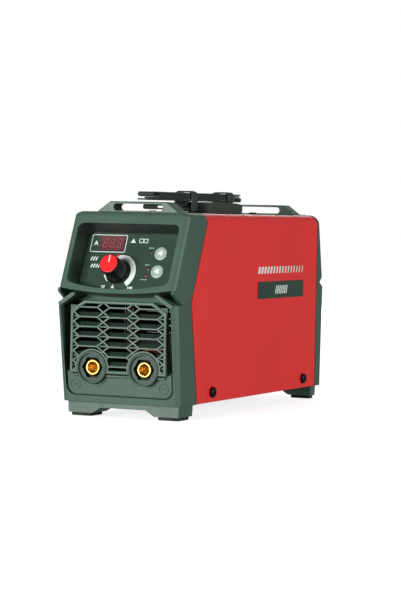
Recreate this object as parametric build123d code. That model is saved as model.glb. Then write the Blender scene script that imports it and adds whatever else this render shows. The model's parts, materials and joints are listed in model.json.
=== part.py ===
from build123d import *
import math
import os

# Stick welding inverter, millimetres. +Z up, -Y is the front with the controls, X = 0 is the mid-plane.
# Lengths along Y are written from the lower front corner of the red cover; save() then moves every
# piece so that the origin is under the middle of the whole machine, on the floor.

# ---------------------------------------------------------------- driving dimensions
CASE_W = 120.0  # outside width of the sheet cover
CASE_TOP = 184.0  # top of the cover above the floor
CASE_BOTTOM = 13.7  # lower edge of the cover and underside of the base pan
COVER_L = 278.0  # length of the cover along its lower edge
CORNER_R = 10.0  # outside bend radius of the cover
SHEET = 1.2  # cover and base pan thickness
WALL = 2.8  # bezel wall thickness
GROOVE = 1.2  # dark shadow gap between bezel and cover
WAIST_Z = 104.0  # height of the notch between the hood and the lower frame
WAIST_Y = -15.0  # front edge of the cover at the waist
LEAN = 23.4  # hood face leans back by this angle, degrees
LIP_Y = -49.0  # lower lip of the hood, at the middle
LIP_Z = 110.0
HOOD_HALF_W = 57.5  # half width of the hood at its face
HOOD_TOP = 184.5
FRAME_FOOT_Y = -31.8  # lower front frame, bottom edge
FRAME_HEAD_Y = -42.0  # lower front frame, top edge
FRAME_HEAD_Z = 103.0
RIM_PROUD = 4.4  # rim of the lower frame in front of the frame's plane, at its head
RECESS_DEPTH = 20.0  # control panel below the hood face
SOCKET_X = 25.7  # weld sockets, left and right of the middle
SOCKET_Z = 45.1
SOCKET_FACE_Y = -40.3
SOCKET_BORE_R = 4.6
KNOB_X, KNOB_S = -11.2, 30.6  # knob axis on the panel, S measured up the slope
BUTTON_X, BUTTON_S = 27.8, (49.5, 32.1)
BUTTON_R = 6.3
LED_PLACES = ((17.9, 50.4), (17.6, 34.5), (16.7, 28.3))
WINDOW_X, WINDOW_S = -22.9, 58.5  # display window centre
WINDOW_W, WINDOW_H = 24.3, 13.8
GRILLE_Y = -39.4  # front face of the hexagon mesh
MESH_PITCH_X, MESH_PITCH_Z = 30.0, 8.75
RIB_W = 1.4  # width of the mesh ribs
FOOT_H = 3.0  # rubber pad height
REAR_HEAD_Y = 296.0
REAR_FOOT_Y = 293.5
REAR_POCKET_Y = 284.5  # floor of the pocket that holds the switch and the gland
GLAND_X, GLAND_Z = 27.0, 152.0
GLAND_OUT = 33.0  # gland length outside the pocket floor
SWITCH_X, SWITCH_Z = -22.0, 152.0
FAN_SIZE, FAN_DEPTH, FAN_Z = 80.0, 25.0, 63.0
FAN_REAR_Y = 290.4  # back of the fan, against the guard
GROUND_X, GROUND_Z = 2.0, 141.0  # protective earth screw
ROCKER_TILT = 12.0  # the rocker rests this far to one side, degrees
LUG_Y = (4.5, 269.5)  # strap lugs, middle of each in Y
STRAP_HALF = 7.6  # half the width of the webbing
LAYER = 1.4  # thickness of one layer of webbing
STRAP_LEVELS = (188.0, 191.4, 196.4, 199.6, 202.8)  # heights of the layers, bottom to top
FREE_END = (8.0, 72.0)  # tucked end of the webbing, along Y
LIP_SAG = 4.5  # the hood's lower lip rises by this much at its ends
LIP_ADVANCE = 0.98  # the sagging lip reaches this far behind the corner of the hood's plane

SIDE_SCREWS = ((32.2, 22.9), (245.5, 22.9))  # cover screws as (Y, Z), both sides
TOP_SCREWS = (26.0, 252.0)
REAR_SCREW_Y = 284.0
FRONT_SCREW_Y = -6.0
BEZEL_SCREW_X = (-12.0, 12.0)
PAN_TAB_Z = CASE_BOTTOM + WALL + 0.1  # underside of the pan's tabs inside the bezels
FRONT_PADS_Y = (-24.0, -1.0)  # rubber pads under the front bezel
REAR_PADS_Y = (280.0, 290.0)
PAD_X = (-43.5, 43.5)
BOARD_BOSSES = [(x, at) for x in (-42.0, 42.0) for at in (23.0, 63.0)]
BOARD_D = -11.4  # front of the control board behind the panel face
CONTROL_BOARD_T = 1.6
PIN_PITCH = 2.54
DISPLAY_PINS = [(PIN_PITCH * (k - 2.5), y) for k in range(6) for y in (-5.0, 5.0)]
STANDOFFS = [(x, y) for x in (-45.0, 45.0) for y in (58.0, 150.0, 252.0)]
BOARD_Z = 24.0  # underside of the main board
BOARD_TOP = BOARD_Z + 1.6
BAR_Y = -9.9  # front face of the output busbars
BAR_BOLT_Y = 62.0
FAN_HOLES = [(x, FAN_Z + z) for x in (-35.75, 35.75) for z in (-35.75, 35.75)]

FRONT_TIP = LIP_Y + LIP_ADVANCE
REAR_TIP = REAR_POCKET_Y + GLAND_OUT
MID_Y = (FRONT_TIP + REAR_TIP) / 2
HALF = CASE_W / 2

os.makedirs("parts", exist_ok=True)


# ---------------------------------------------------------------- helpers
def save(name, shape):
    export_step(shape.moved(Location((0, -MID_Y, 0))), f"parts/{name}.step")


def block(x0, x1, y0, y1, z0, z1):
    return Pos((x0 + x1) / 2, (y0 + y1) / 2, (z0 + z1) / 2) * Box(x1 - x0, y1 - y0, z1 - z0)


def prism_yz(points, x0, x1):
    face = make_face(Polyline(*points, close=True))
    return extrude(Plane.YZ.offset(x0) * face, amount=x1 - x0)


def prism_xz(face, y0, y1):
    return extrude(Plane.XZ.offset(-y0) * face, amount=-(y1 - y0))


def polygon(points):
    return make_face(Polyline(*points, close=True))


def rod_y(x, z, r, y0, y1):
    return Pos(x, (y0 + y1) / 2, z) * Rot(90, 0, 0) * Cylinder(r, y1 - y0)


def rod_z(x, y, r, z0, z1):
    return Pos(x, y, (z0 + z1) / 2) * Cylinder(r, z1 - z0)


def rod_x(y, z, r, x0, x1):
    return Pos((x0 + x1) / 2, y, z) * Rot(0, 90, 0) * Cylinder(r, x1 - x0)


def hex_y(x, z, flats, y0, y1):
    return prism_xz(Pos(x, z) * RegularPolygon(flats / 2, 6, major_radius=False), y0, y1)


def both_sides(shape):
    return shape + mirror(shape, Plane.YZ)


def joined(shapes):
    total = shapes[0]
    for shape in shapes[1:]:
        total = total + shape
    return total


def group(shapes):
    return Compound(children=[solid for shape in shapes for solid in shape.solids()])


def edges_on_plane(shape, plane, tolerance=0.05):
    found = []
    for edge in shape.edges():
        ends = [plane.to_local_coords(Vector(*v)) for v in edge.vertices()]
        if ends and all(abs(p.Z) < tolerance for p in ends):
            found.append(edge)
    return found


lean = math.radians(LEAN)
HOOD = Plane(origin=(0, LIP_Y, LIP_Z), x_dir=(1, 0, 0), z_dir=(0, -math.cos(lean), math.sin(lean)))
PANEL = HOOD.offset(-RECESS_DEPTH)
hood_run = (HOOD_TOP - LIP_Z) * math.tan(lean)
HOOD_DRAW_DEPTH = (WAIST_Y - LIP_Y - (105.0 - LIP_Z) * math.tan(lean)) * math.cos(lean)
HOOD_TOP_Y = LIP_Y + hood_run
SEAM_TOP_Y = WAIST_Y + (HOOD_TOP - 105.0) * math.tan(lean)
SEAM = ((0.0, CASE_BOTTOM - 0.2), (WAIST_Y, 105.0), (SEAM_TOP_Y, HOOD_TOP))

frame_tilt = math.atan2(FRAME_FOOT_Y - FRAME_HEAD_Y, FRAME_HEAD_Z - CASE_BOTTOM)
FRAME = Plane(
    origin=(0, FRAME_FOOT_Y, CASE_BOTTOM),
    x_dir=(1, 0, 0),
    z_dir=(0, -math.cos(frame_tilt), -math.sin(frame_tilt)),
)


def case_outline(inset, z0, top=CASE_TOP):
    """Cover section in XZ: straight sides, rounded top corners, cut off at z0."""
    half = HALF - inset
    roof = top - inset
    r = CORNER_R - inset
    sketch = polygon([(-half, z0), (half, z0), (half, roof), (-half, roof)])
    return fillet(sketch.vertices().group_by(Axis.Y)[-1], r)


def seam_band(offset0, offset1, x_half):
    """Slab between two copies of the front seam, shifted along Y."""
    line = [(y + offset0, z) for y, z in SEAM]
    back = [(y + offset1, z) for y, z in reversed(SEAM)]
    return prism_yz(line + back, -x_half, x_half)


# ---------------------------------------------------------------- front bezel
def quad_loft(front, rear):
    """Ruled solid between two upright trapezoids given as (half width, y, z) bottom and top."""
    faces = []
    for (w0, y0, z0), (w1, y1, z1) in (front, rear):
        wire = Polyline((-w0, y0, z0), (w0, y0, z0), (w1, y1, z1), (-w1, y1, z1), close=True)
        faces.append(make_face(wire))
    return loft(faces, ruled=True)


def lower_frame_body():
    """Lower front frame: a rim round the opening that slopes back to the cheeks."""
    foot, head = CASE_BOTTOM - 0.2, FRAME_HEAD_Z
    sections = [
        ((54.6, FRAME_FOOT_Y - 0.6, foot), (55.2, FRAME_HEAD_Y - RIM_PROUD, head)),
        ((57.2, FRAME_FOOT_Y + 0.8, foot), (57.9, FRAME_HEAD_Y - 2.0, head)),
        ((58.4, FRAME_FOOT_Y + 3.0, foot), (60.0, FRAME_HEAD_Y + 1.6, head)),
        ((HALF, 0, foot), (HALF, WAIST_Y, 105.0)),
    ]
    return joined([quad_loft(front, rear) for front, rear in zip(sections, sections[1:])])


def shoulders():
    """Slanting bars from the top corners of the lower frame up to the lip of the hood."""
    bar = polygon([(57.0, 101.4), (57.0, 102.6), (43.0, 111.8), (39.8, 111.8), (39.8, 110.0), (53.6, 100.6)])
    behind_rim = extrude(FRAME.offset(RIM_PROUD) * Rectangle(300, 400), amount=-22)
    return both_sides(prism_xz(bar, -60, -24)) & behind_rim


def gussets():
    """Lower corners of the hood's cheeks, which come down to the waist behind a V notch."""
    side = [
        (-46.6, 113.2), (-33.0, 105.2), (-30.0, 103.0),
        (WAIST_Y + 1, 103.0), (WAIST_Y + 1, 116.0), (-45.0, 116.0),
    ]
    cheek = across_hood(((HOOD_HALF_W, 0), (HALF, -HOOD_DRAW_DEPTH), (HALF, -90), (55.0, -90), (55.0, 0)))
    return both_sides(prism_yz(side, 50, HALF) & cheek)


def hood_outer():
    """Hood shell envelope: rounded case section cut by the leaning face, sides drawn in to the face."""
    profile = [
        (LIP_Y, LIP_Z),
        (HOOD_TOP_Y, HOOD_TOP),
        (SEAM_TOP_Y, HOOD_TOP),
        (WAIST_Y, 105.0),
        (-26.0, WAIST_Z),
        (LIP_Y + (WAIST_Z - LIP_Z) * math.tan(lean), WAIST_Z),
    ]
    outline = prism_xz(case_outline(0, 60, HOOD_TOP), -60, 40)
    body = prism_yz(profile, -HALF, HALF) & outline
    far = -HOOD_DRAW_DEPTH - 60
    wedge = (
        (-HOOD_HALF_W, 0), (HOOD_HALF_W, 0), (HALF, -HOOD_DRAW_DEPTH), (HALF, far),
        (-HALF, far), (-HALF, -HOOD_DRAW_DEPTH),
    )
    body = body & across_hood(wedge)
    rim = edges_on_plane(body, HOOD)
    rim = [e for e in rim if e.center().Z > WAIST_Z + 2]
    body = fillet(rim, 6.0)
    return body - hood_underside()


def across_hood(outline):
    """Prism square to the hood face, from an outline given as (x, height over the face)."""
    across = Plane(origin=HOOD.origin, x_dir=(1, 0, 0), z_dir=-HOOD.y_dir)
    return extrude(across.offset(-120) * polygon(outline), amount=180)


def hood_underside():
    """Sagging lip: everything under a shallow arc, falling towards the waist."""
    arc = ThreePointArc((-66, LIP_SAG + 1.6), (0, 0), (66, LIP_SAG + 1.6))
    low = Polyline((66, LIP_SAG + 1.6), (66, -30), (-66, -30), (-66, LIP_SAG + 1.6))
    face = HOOD.offset(12) * make_face(Curve() + [arc, low])
    return extrude(face, amount=36.0, dir=(0, 24.0, -5.0))


def recess(depth, grow=0.0):
    """Control recess: rounded opening with a sagging lower edge, sides drawn in with depth."""
    faces = []
    for at, shrink in ((1.5, 0.0), (-depth, 3.0)):
        half = 51.0 - shrink + grow
        low_side = 12.8 + shrink - grow
        low_mid = 6.3 + shrink - grow
        top = 70.2 - shrink * 0.4 + grow
        arc = ThreePointArc((-half, low_side), (0, low_mid), (half, low_side))
        rest = Polyline((half, low_side), (half, top), (-half, top), (-half, low_side))
        face = make_face(Curve() + [arc, rest])
        face = fillet(face.vertices(), 6.0)
        faces.append(HOOD.offset(at) * face)
    return loft(faces, ruled=True)


def lug(y_mid):
    """Strap lug: low trapezoid loop with a slot through it along Y."""
    right = [(43, HOOD_TOP - 1), (41.5, HOOD_TOP), (28.5, 194)]
    outer = polygon([(-x, z) for x, z in reversed(right)] + right)
    outer = fillet(outer.vertices().group_by(Axis.Y)[-1], 3.0)
    half = 8.5
    body = prism_xz(outer, y_mid - half, y_mid + half)
    ends = [e for e in body.edges() if abs(abs(e.center().Y - y_mid) - half) < 0.1]
    body = fillet([e for e in ends if e.center().Z > HOOD_TOP + 0.5], 1.2)
    slot = prism_xz(Pos(0, 188.8) * SlotOverall(50, 6.2), y_mid - 20, y_mid + 20)
    return body, slot


def foot_bar(y0, y1):
    outline = polygon(
        [
            (-55, FOOT_H), (-31, FOOT_H), (-22.5, 8.3), (22.5, 8.3), (31, FOOT_H),
            (55, FOOT_H), (55.6, CASE_BOTTOM + 0.5), (-55.6, CASE_BOTTOM + 0.5),
        ]
    )
    return prism_xz(outline, y0, y1)


def foot_pockets(y0, y1):
    """Blind holes that take the pegs of the rubber pads."""
    return joined([rod_z(x, (y0 + y1) / 2, 2.6, FOOT_H - 1, FOOT_H + 5) for x in PAD_X])


def frame_opening():
    """Opening in the lower frame round the grille insert, with slanting upper corners."""
    right = [(53.4, 19.2), (54.8, 97.6), (54.0, 100.3), (49.0, 103.9)]
    shape = polygon([(-x, z) for x, z in reversed(right)] + right)
    return fillet(shape.vertices().group_by(Axis.Y)[0], 9.0)


def cover_lip(y0, y1):
    """Lip of a bezel that slides inside the cover."""
    ring = prism_xz(case_outline(SHEET + 0.15, 20), y0, y1)
    return ring - prism_xz(case_outline(SHEET + 2.0, 10), y0, y1)


def front_bezel():
    outer = lower_frame_body() + hood_outer() + gussets()
    inner_low = quad_loft(
        ((58.4 - WALL, FRAME_FOOT_Y + WALL, CASE_BOTTOM + WALL), (59.0 - WALL, FRAME_HEAD_Y + WALL, 101.0)),
        ((HALF - WALL, 8, CASE_BOTTOM + WALL), (HALF - WALL, 8, 101.0)),
    )
    low_keep = prism_yz([(-60, 0), (40, 0), (40, 101), (-60, 101)], -HALF, HALF)
    hood_hollow = prism_yz(
        [
            (-21, 99), (-21, 111.5), (-36.5, 119), (-36.5 + (181.5 - 119) * math.tan(lean), 181.5),
            (60, 181.5), (60, 99),
        ],
        -HALF,
        HALF,
    ) & prism_xz(case_outline(WALL + 1.2, 60, HOOD_TOP + 1.2), -60, 70)
    shell = outer - (inner_low & low_keep) - hood_hollow
    tub = (recess(RECESS_DEPTH + 2.4, 2.2) & outer) - recess(RECESS_DEPTH)
    tub = tub & block(-56.5, 56.5, -60, SEAM_TOP_Y + 30, 100, 200)
    shell = shell - recess(RECESS_DEPTH) + tub
    shell = shell - prism_xz(frame_opening(), -60, -20) + shoulders()
    shell = shell + (cover_lip(-60, 70) & seam_band(-4, 7, HALF))
    loop, slot = lug(LUG_Y[0])
    shell = shell + loop - slot
    shell = shell + foot_bar(-26.5, 2.0) - foot_pockets(*FRONT_PADS_Y)
    for x, at in BOARD_BOSSES:
        shell = shell + PANEL * Pos(x, at, -6.8) * Cylinder(3.2, 9.2)
        shell = shell - PANEL * Pos(x, at, -7.9) * Cylinder(1.55, 7.0)
    for cutter in panel_cutouts(0.2):
        shell = shell - cutter
    for x in BEZEL_SCREW_X:
        shell = shell - bezel_screw_hole(x, FRONT_SCREW_Y)
    return add_top_tab(shell, TOP_SCREWS[0], 10.0, TOP_SCREWS[0] + 8)


def add_top_tab(shell, screw_y, y0, y1):
    """Tongue under the cover that takes a top screw."""
    tab = block(-9, 9, y0, y1, CASE_TOP - SHEET - 3.2, CASE_TOP - SHEET - 0.15)
    return shell + tab - rod_z(0, screw_y, 2.05, 170, CASE_TOP - SHEET)


def panel_cutouts(clear):
    """Holes through the control panel: display, shaft, buttons and lamps."""
    deep = 8.0
    holes = [PANEL * Pos(WINDOW_X, WINDOW_S, 0) * Box(WINDOW_W + 2 * clear, WINDOW_H + 2 * clear, deep)]
    holes.append(PANEL * Pos(KNOB_X, KNOB_S, 0) * Cylinder(3.6 + clear, deep))
    holes += [PANEL * Pos(BUTTON_X, at, 0) * Cylinder(BUTTON_R + 0.1 + clear, deep) for at in BUTTON_S]
    holes += [PANEL * Pos(x, at, 0) * Cylinder(1.5 + clear / 2, deep) for x, at in LED_PLACES]
    return holes


def bezel_screw_hole(x, y):
    return rod_z(x, y, 2.15, 5, PAN_TAB_Z + 5) + rod_z(x, y, 4.3, 5, 11.2)


def bezel_screw(x, y):
    head = fillet(rod_z(x, y, 4.0, 8.8, 11.2).edges().group_by(Axis.Z)[0], 0.8)
    cross = Pos(x, y, 9.2) * (Box(4.4, 0.9, 1.6) + Box(0.9, 4.4, 1.6))
    return head + rod_z(x, y, 2.0, 11.2, PAN_TAB_Z + 4) - cross



def bezel_screws():
    return group([bezel_screw(x, y) for x in BEZEL_SCREW_X for y in (FRONT_SCREW_Y, REAR_SCREW_Y)])


# ---------------------------------------------------------------- rear bezel
def rear_bezel():
    profile = [
        (COVER_L, CASE_BOTTOM - 0.2), (REAR_FOOT_Y, CASE_BOTTOM - 0.2), (REAR_HEAD_Y, 111.6), (286, 117.5),
        (294, 124), (284.5, 174), (282.6, HOOD_TOP), (COVER_L, HOOD_TOP),
    ]
    outline = prism_xz(case_outline(0, CASE_BOTTOM - 0.2, HOOD_TOP), 250, 320)
    outer = prism_yz(profile, -HALF, HALF) & outline
    corners = [
        e for e in outer.edges()
        if abs(abs(e.center().X) - HALF) < 0.1 and e.center().Y > COVER_L + 4 and e.length > 20
    ]
    outer = fillet(corners, 3.0)
    hollow_profile = [
        (260, CASE_BOTTOM + WALL), (REAR_FOOT_Y - WALL, CASE_BOTTOM + WALL), (REAR_HEAD_Y - WALL, 109.5),
        (283, 113), (283, 121.5), (291, 126.5), (281.8, 173), (280, 181.6), (260, 181.6),
    ]
    inner = prism_xz(case_outline(WALL + 1.2, 10, HOOD_TOP + 1.2), 250, 320)
    shell = outer - (prism_yz(hollow_profile, -HALF, HALF) & inner)
    shell = shell + (block(-50.5, 50.5, REAR_POCKET_Y - 2.5, 300, 127.5, 173.5) & outer)
    pocket = block(-48, 48, REAR_POCKET_Y, 310, 130, 171)
    pocket = fillet(pocket.edges().filter_by(Axis.Y), 4.0)
    shell = shell - pocket
    shell = shell - (rod_y(0, FAN_Z, 37.0, 280, 310) - guard_bars())
    shell = shell + (cover_lip(250, 300) & block(-HALF, HALF, 271, COVER_L + 3, 19, CASE_TOP))
    loop, slot = lug(LUG_Y[1])
    loop = loop - block(-60, 60, 250, COVER_L, 170, CASE_TOP + 0.05)
    apron = block(-45, 45, LUG_Y[1] - 10.5, COVER_L + 2, CASE_TOP + 0.05, HOOD_TOP + 0.5)
    shell = shell + apron + loop - slot
    shell = shell + foot_bar(COVER_L + 0.2, 291.0) - foot_pockets(*REAR_PADS_Y)
    for x, z in FAN_HOLES:
        shell = shell - rod_y(x, z, 2.15, 285, 300)
    for x in BEZEL_SCREW_X:
        shell = shell - bezel_screw_hole(x, REAR_SCREW_Y)
    shell = shell - block(SWITCH_X - 14.6, SWITCH_X + 14.6, 275, 290, SWITCH_Z - 11.1, SWITCH_Z + 11.1)
    shell = shell - rod_y(GLAND_X, GLAND_Z, 10.2, 275, 290)
    shell = shell - rod_y(GROUND_X, GROUND_Z, 2.6, 275, 290)
    return add_top_tab(shell, TOP_SCREWS[1], TOP_SCREWS[1] - 8, COVER_L + 2)


def guard_bars():
    bars = [rod_y(0, FAN_Z, 8.0, 279, 311)]
    for r in (14.5, 22.0, 29.5):
        bars.append(rod_y(0, FAN_Z, r + 1.1, 279, 311) - rod_y(0, FAN_Z, r - 1.1, 278, 312))
    for i in range(4):
        spoke = Box(76, 32, 2.6)
        bars.append(Pos(0, 295, FAN_Z) * Rot(0, 22.5 + 45 * i, 0) * spoke)
    return joined(bars)


# ---------------------------------------------------------------- sheet metal
def cover():
    ring = prism_xz(case_outline(0, CASE_BOTTOM), -60, 320)
    ring = ring - prism_xz(case_outline(SHEET, CASE_BOTTOM - 1), -61, 321)
    line = [(y + GROOVE, z) for y, z in SEAM]
    span = prism_yz(line + [(COVER_L - 1, HOOD_TOP), (COVER_L - 1, CASE_BOTTOM - 0.2)], -61, 61)
    sheet = ring & span
    for y, z in SIDE_SCREWS:
        sheet = sheet - rod_x(y, z, 2.75, -70, 70)
    for y in TOP_SCREWS:
        sheet = sheet - rod_z(0, y, 2.3, 170, 190)
    return sheet


def base_pan():
    t = SHEET
    floor = block(-58.75, 58.75, 10, 268, CASE_BOTTOM, CASE_BOTTOM + t)
    floor = floor + block(-50, 50, 2.6, 275.4, CASE_BOTTOM, CASE_BOTTOM + t)
    pan = floor + both_sides(block(58.75 - t, 58.75, 10, 268, CASE_BOTTOM, 34))
    for y0, tab0, tab1 in ((2.6, -12.0, 3.8), (275.4 - t, 275.4 - t, 289.0)):
        pan = pan + block(-50, 50, y0, y0 + t, CASE_BOTTOM, PAN_TAB_Z + t)
        pan = pan + block(-50, 50, tab0, tab1, PAN_TAB_Z, PAN_TAB_Z + t)
    for y, z in SIDE_SCREWS:
        pan = pan - rod_x(y, z, 2.55, -70, 70)
    for x in BEZEL_SCREW_X:
        pan = pan - rod_z(x, FRONT_SCREW_Y, 2.05, 10, 30) - rod_z(x, REAR_SCREW_Y, 2.05, 10, 30)
    for x, y in STANDOFFS:
        pan = pan - rod_z(x, y, 1.65, 10, 20)
    for i in range(9):
        pan = pan - Pos(0, 110 + 12 * i, CASE_BOTTOM) * extrude(SlotOverall(60, 4), 6, both=True)
    return pan


def pan_head(r, h, shank_r, shank, cross):
    """Pan-head screw, head upwards from z = 0, shank below, with a cross recess."""
    head = Pos(0, 0, h / 2) * Cylinder(r, h)
    head = fillet(head.edges().group_by(Axis.Z)[-1], h * 0.55)
    slot = Pos(0, 0, h) * (Box(cross, 1.0, h * 1.1) + Box(1.0, cross, h * 1.1))
    return head - slot + Pos(0, 0, -shank / 2) * Cylinder(shank_r, shank)


def side_screws():
    screw = pan_head(5.0, 3.2, 2.5, 9.0, 5.4)
    places = []
    for y, z in SIDE_SCREWS:
        places.append(Pos(HALF + 0.02, y, z) * Rot(0, 90, 0) * screw)
        places.append(Pos(-HALF - 0.02, y, z) * Rot(0, -90, 0) * screw)
    return group(places)


def top_screws():
    screw = pan_head(3.8, 2.3, 2.0, 7.0, 4.2)
    return group([Pos(0, y, CASE_TOP + 0.02) * screw for y in TOP_SCREWS])


def rubber_feet():
    pads = []
    for y0, y1 in (FRONT_PADS_Y, REAR_PADS_Y):
        for x in PAD_X:
            pad = block(x - 10.5, x + 10.5, y0, y1, 0, FOOT_H)
            pad = fillet(pad.edges().filter_by(Axis.Z), 2.5)
            pad = chamfer(pad.edges().group_by(Axis.Z)[0], 0.6)
            pads.append(pad + rod_z(x, (y0 + y1) / 2, 2.5, FOOT_H - 0.5, FOOT_H + 4.5))
    return group(pads)


# ---------------------------------------------------------------- grille insert
def mesh_outline(inset):
    half, chamfer_x = 48.0 - inset, 34.5 - inset * 0.6
    low, side, top = 40.0 + inset, 96.3 - inset * 0.3, 105.0 - inset
    right = [(half, low), (half, side), (chamfer_x, top)]
    return polygon([(-x, z) for x, z in reversed(right)] + right)


def rib(x0, z0, x1, z1, w):
    length = math.hypot(x1 - x0, z1 - z0)
    angle = math.degrees(math.atan2(z1 - z0, x1 - x0))
    return Pos((x0 + x1) / 2, (z0 + z1) / 2) * Rot(0, 0, angle) * Rectangle(length + 0.6, w)


def mesh_ribs():
    """Elongated hexagons side by side; their pointed ends meet in diamonds."""
    ribs = []
    tip = 6.2
    rows = 8
    for row in range(rows):
        z = 94.6 - MESH_PITCH_Z * (row - 1)
        for k in range(4):
            x = MESH_PITCH_X * (k - 1.5)
            for sx in (-1, 1):
                if abs(x + sx * tip) > 46:
                    continue
                for sz in (-1, 1):
                    ribs.append(rib(x, z, x + sx * tip, z + sz * MESH_PITCH_Z / 2, RIB_W))
        for k in range(3):
            x = MESH_PITCH_X * (k - 1)
            half = MESH_PITCH_X / 2 - tip
            ribs.append(rib(x - half, z - MESH_PITCH_Z / 2, x + half, z - MESH_PITCH_Z / 2, RIB_W))
    return joined(ribs)


def louvre_slats():
    """Sloping slats behind the lower half of every hexagon, which hide the live parts."""
    y0 = GRILLE_Y + 2.0
    slats = []
    for row in range(7):
        foot = 94.6 - MESH_PITCH_Z * (row + 0.5) + 0.4
        side = [(y0, foot - 0.9), (y0, foot + 0.3), (y0 + 5.0, foot + 3.9), (y0 + 5.0, foot + 2.7)]
        slats.append(prism_yz(side, -46.5, 46.5))
    return joined(slats)


def front_grille():
    right = [(54.8, 17.0), (54.8, 38.0), (48.3, 44.0), (48.3, 100.6)]
    flange_outline = polygon([(-x, z) for x, z in reversed(right)] + right)
    slab = extrude(FRAME.offset(-5.3) * Rectangle(300, 400), amount=1.9)
    plate = prism_xz(flange_outline, -70, 0) & slab
    window = mesh_outline(3.0)
    plate = plate - prism_xz(window, -70, 0)
    outside = prism_xz(mesh_outline(0), GRILLE_Y, -20)
    ahead = extrude(FRAME.offset(-5.3) * Rectangle(300, 400), amount=40)
    walls = (outside - prism_xz(window, -60, 0)) & ahead
    walls = chamfer([e for e in walls.edges() if abs(e.center().Y - GRILLE_Y) < 0.01 and e.length > 5], 0.7)
    ribs = prism_xz(mesh_ribs() & mesh_outline(1.0), GRILLE_Y + 0.4, GRILLE_Y + 2.2)
    apron_face = polygon([(-52.6, 19.6), (52.6, 19.6), (52.6, 41.0), (-52.6, 41.0)])
    apron_face = fillet(apron_face.vertices().group_by(Axis.Y)[0], 9.0)
    apron = prism_xz(apron_face, -70, 0) & extrude(FRAME.offset(-4.0) * Rectangle(300, 400), amount=4.7)
    rim = [e for e in edges_on_plane(apron, FRAME.offset(0.7)) if e.center().Z < 40.5]
    apron = fillet(rim, 1.8)
    body = plate + apron + walls + ribs + louvre_slats()
    for x in (-SOCKET_X, SOCKET_X):
        seat = rod_y(x, SOCKET_Z, 16.6, -35.6, -28.4)
        collar = rod_y(x, SOCKET_Z, 16.6, GRILLE_Y + 0.3, -33.0) & block(-60, 60, -60, 0, 41, 80)
        body = body + seat + collar
    for x in (-SOCKET_X, SOCKET_X):
        body = body - rod_y(x, SOCKET_Z, 15.2, -60, -35.6) - rod_y(x, SOCKET_Z, 10.7, -60, -10)
    for x, minus in ((-44.2, False), (44.2, True)):
        mark = Circle(4.9) - Circle(4.2) + Rectangle(4.6, 0.8)
        if not minus:
            mark = mark + Rectangle(0.8, 4.6)
        body = body + extrude(FRAME.offset(0.4) * Pos(x, 15.6) * mark, amount=0.75)
    return body


# ---------------------------------------------------------------- weld sockets
def socket_housing(x):
    z = SOCKET_Z
    flange = rod_y(x, z, 15.0, SOCKET_FACE_Y, -35.6)
    flange = fillet([e for e in flange.edges() if e.center().Y < SOCKET_FACE_Y + 0.1], 1.0)
    body = flange + rod_y(x, z, 10.5, -36.0, -12.0)
    body = body - rod_y(x, z, 13.0, -60, SOCKET_FACE_Y + 2.4)
    body = body - hex_y(x, z, 18.0, -60, -33.0) - rod_y(x, z, 8.1, -60, 0)
    return body


def socket_contact(x):
    z = SOCKET_Z
    nose = rod_y(x, z, 7.1, -37.2, -30.0)
    nose = chamfer([e for e in nose.edges() if e.center().Y < -37.1], 0.7)
    body = nose + rod_y(x, z, 8.0, -31.0, -10.0) + rod_y(x, z, 3.95, -11.0, 4.0)
    bore = rod_y(x, z, SOCKET_BORE_R, -60, -22.0)
    mouth = Pos(x, -36.8, z) * Rot(90, 0, 0) * Cone(SOCKET_BORE_R, SOCKET_BORE_R + 0.8, 0.81)
    key = block(x - 1.5, x + 1.5, -35.5, -24, z, z + SOCKET_BORE_R + 1.4)
    return body - bore - mouth - key


def socket_nuts():
    nuts = []
    for x in (-SOCKET_X, SOCKET_X):
        nut = hex_y(x, SOCKET_Z, 26.0, -28.35, -22.5)
        nuts.append(nut - rod_y(x, SOCKET_Z, 10.55, -60, 0))
    return group(nuts)


def output_busbars():
    bars = []
    for x in (-SOCKET_X, SOCKET_X):
        tab = block(x - 8, x + 8, BAR_Y, BAR_Y + 2, 29, SOCKET_Z + 9)
        run = block(x - 8, x + 8, BAR_Y, 56, 29, 31)
        drop = block(x - 8, x + 8, 54, 56, BOARD_TOP, 31)
        foot = block(x - 8, x + 8, 54, 68, BOARD_TOP, BOARD_TOP + 2)
        bar = tab + run + drop + foot
        bars.append(bar - rod_y(x, SOCKET_Z, 4.05, -20, 0) - rod_z(x, BAR_BOLT_Y, 2.6, 20, 35))
    return group(bars)


def busbar_bolts():
    parts = []
    for x in (-SOCKET_X, SOCKET_X):
        nut = hex_y(x, SOCKET_Z, 13.0, BAR_Y + 2.02, BAR_Y + 8.5)
        parts.append(nut - rod_y(x, SOCKET_Z, 4.0, -20, 10))
        head = Pos(x, BAR_BOLT_Y, BOARD_TOP + 2.02) * extrude(RegularPolygon(4.6, 6), 3.4)
        parts.append(head + rod_z(x, BAR_BOLT_Y, 2.45, 20.5, 28))
    return group(parts)


# ---------------------------------------------------------------- control panel
def control_overlay():
    arc = ThreePointArc((-46.4, 17.2), (0, 11.0), (46.4, 17.2))
    rest = Polyline((46.4, 17.2), (46.4, 67.4), (-46.4, 67.4), (-46.4, 17.2))
    face = make_face(Curve() + [arc, rest])
    face = fillet(face.vertices(), 3.0)
    film = extrude(PANEL * face, amount=0.4)
    for cutter in panel_cutouts(0.1):
        film = film - cutter
    return film


def display_window():
    return PANEL * Pos(WINDOW_X, WINDOW_S, -1.4) * Box(WINDOW_W, WINDOW_H, 4.2)


def display_module():
    body = PANEL * Pos(WINDOW_X, WINDOW_S, -7.55) * Box(30.0, 14.0, 7.5)
    for x, y in DISPLAY_PINS:
        body = body + PANEL * Pos(WINDOW_X + x, WINDOW_S + y, -13.4) * Cylinder(0.3, 4.2)
    return body


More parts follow.
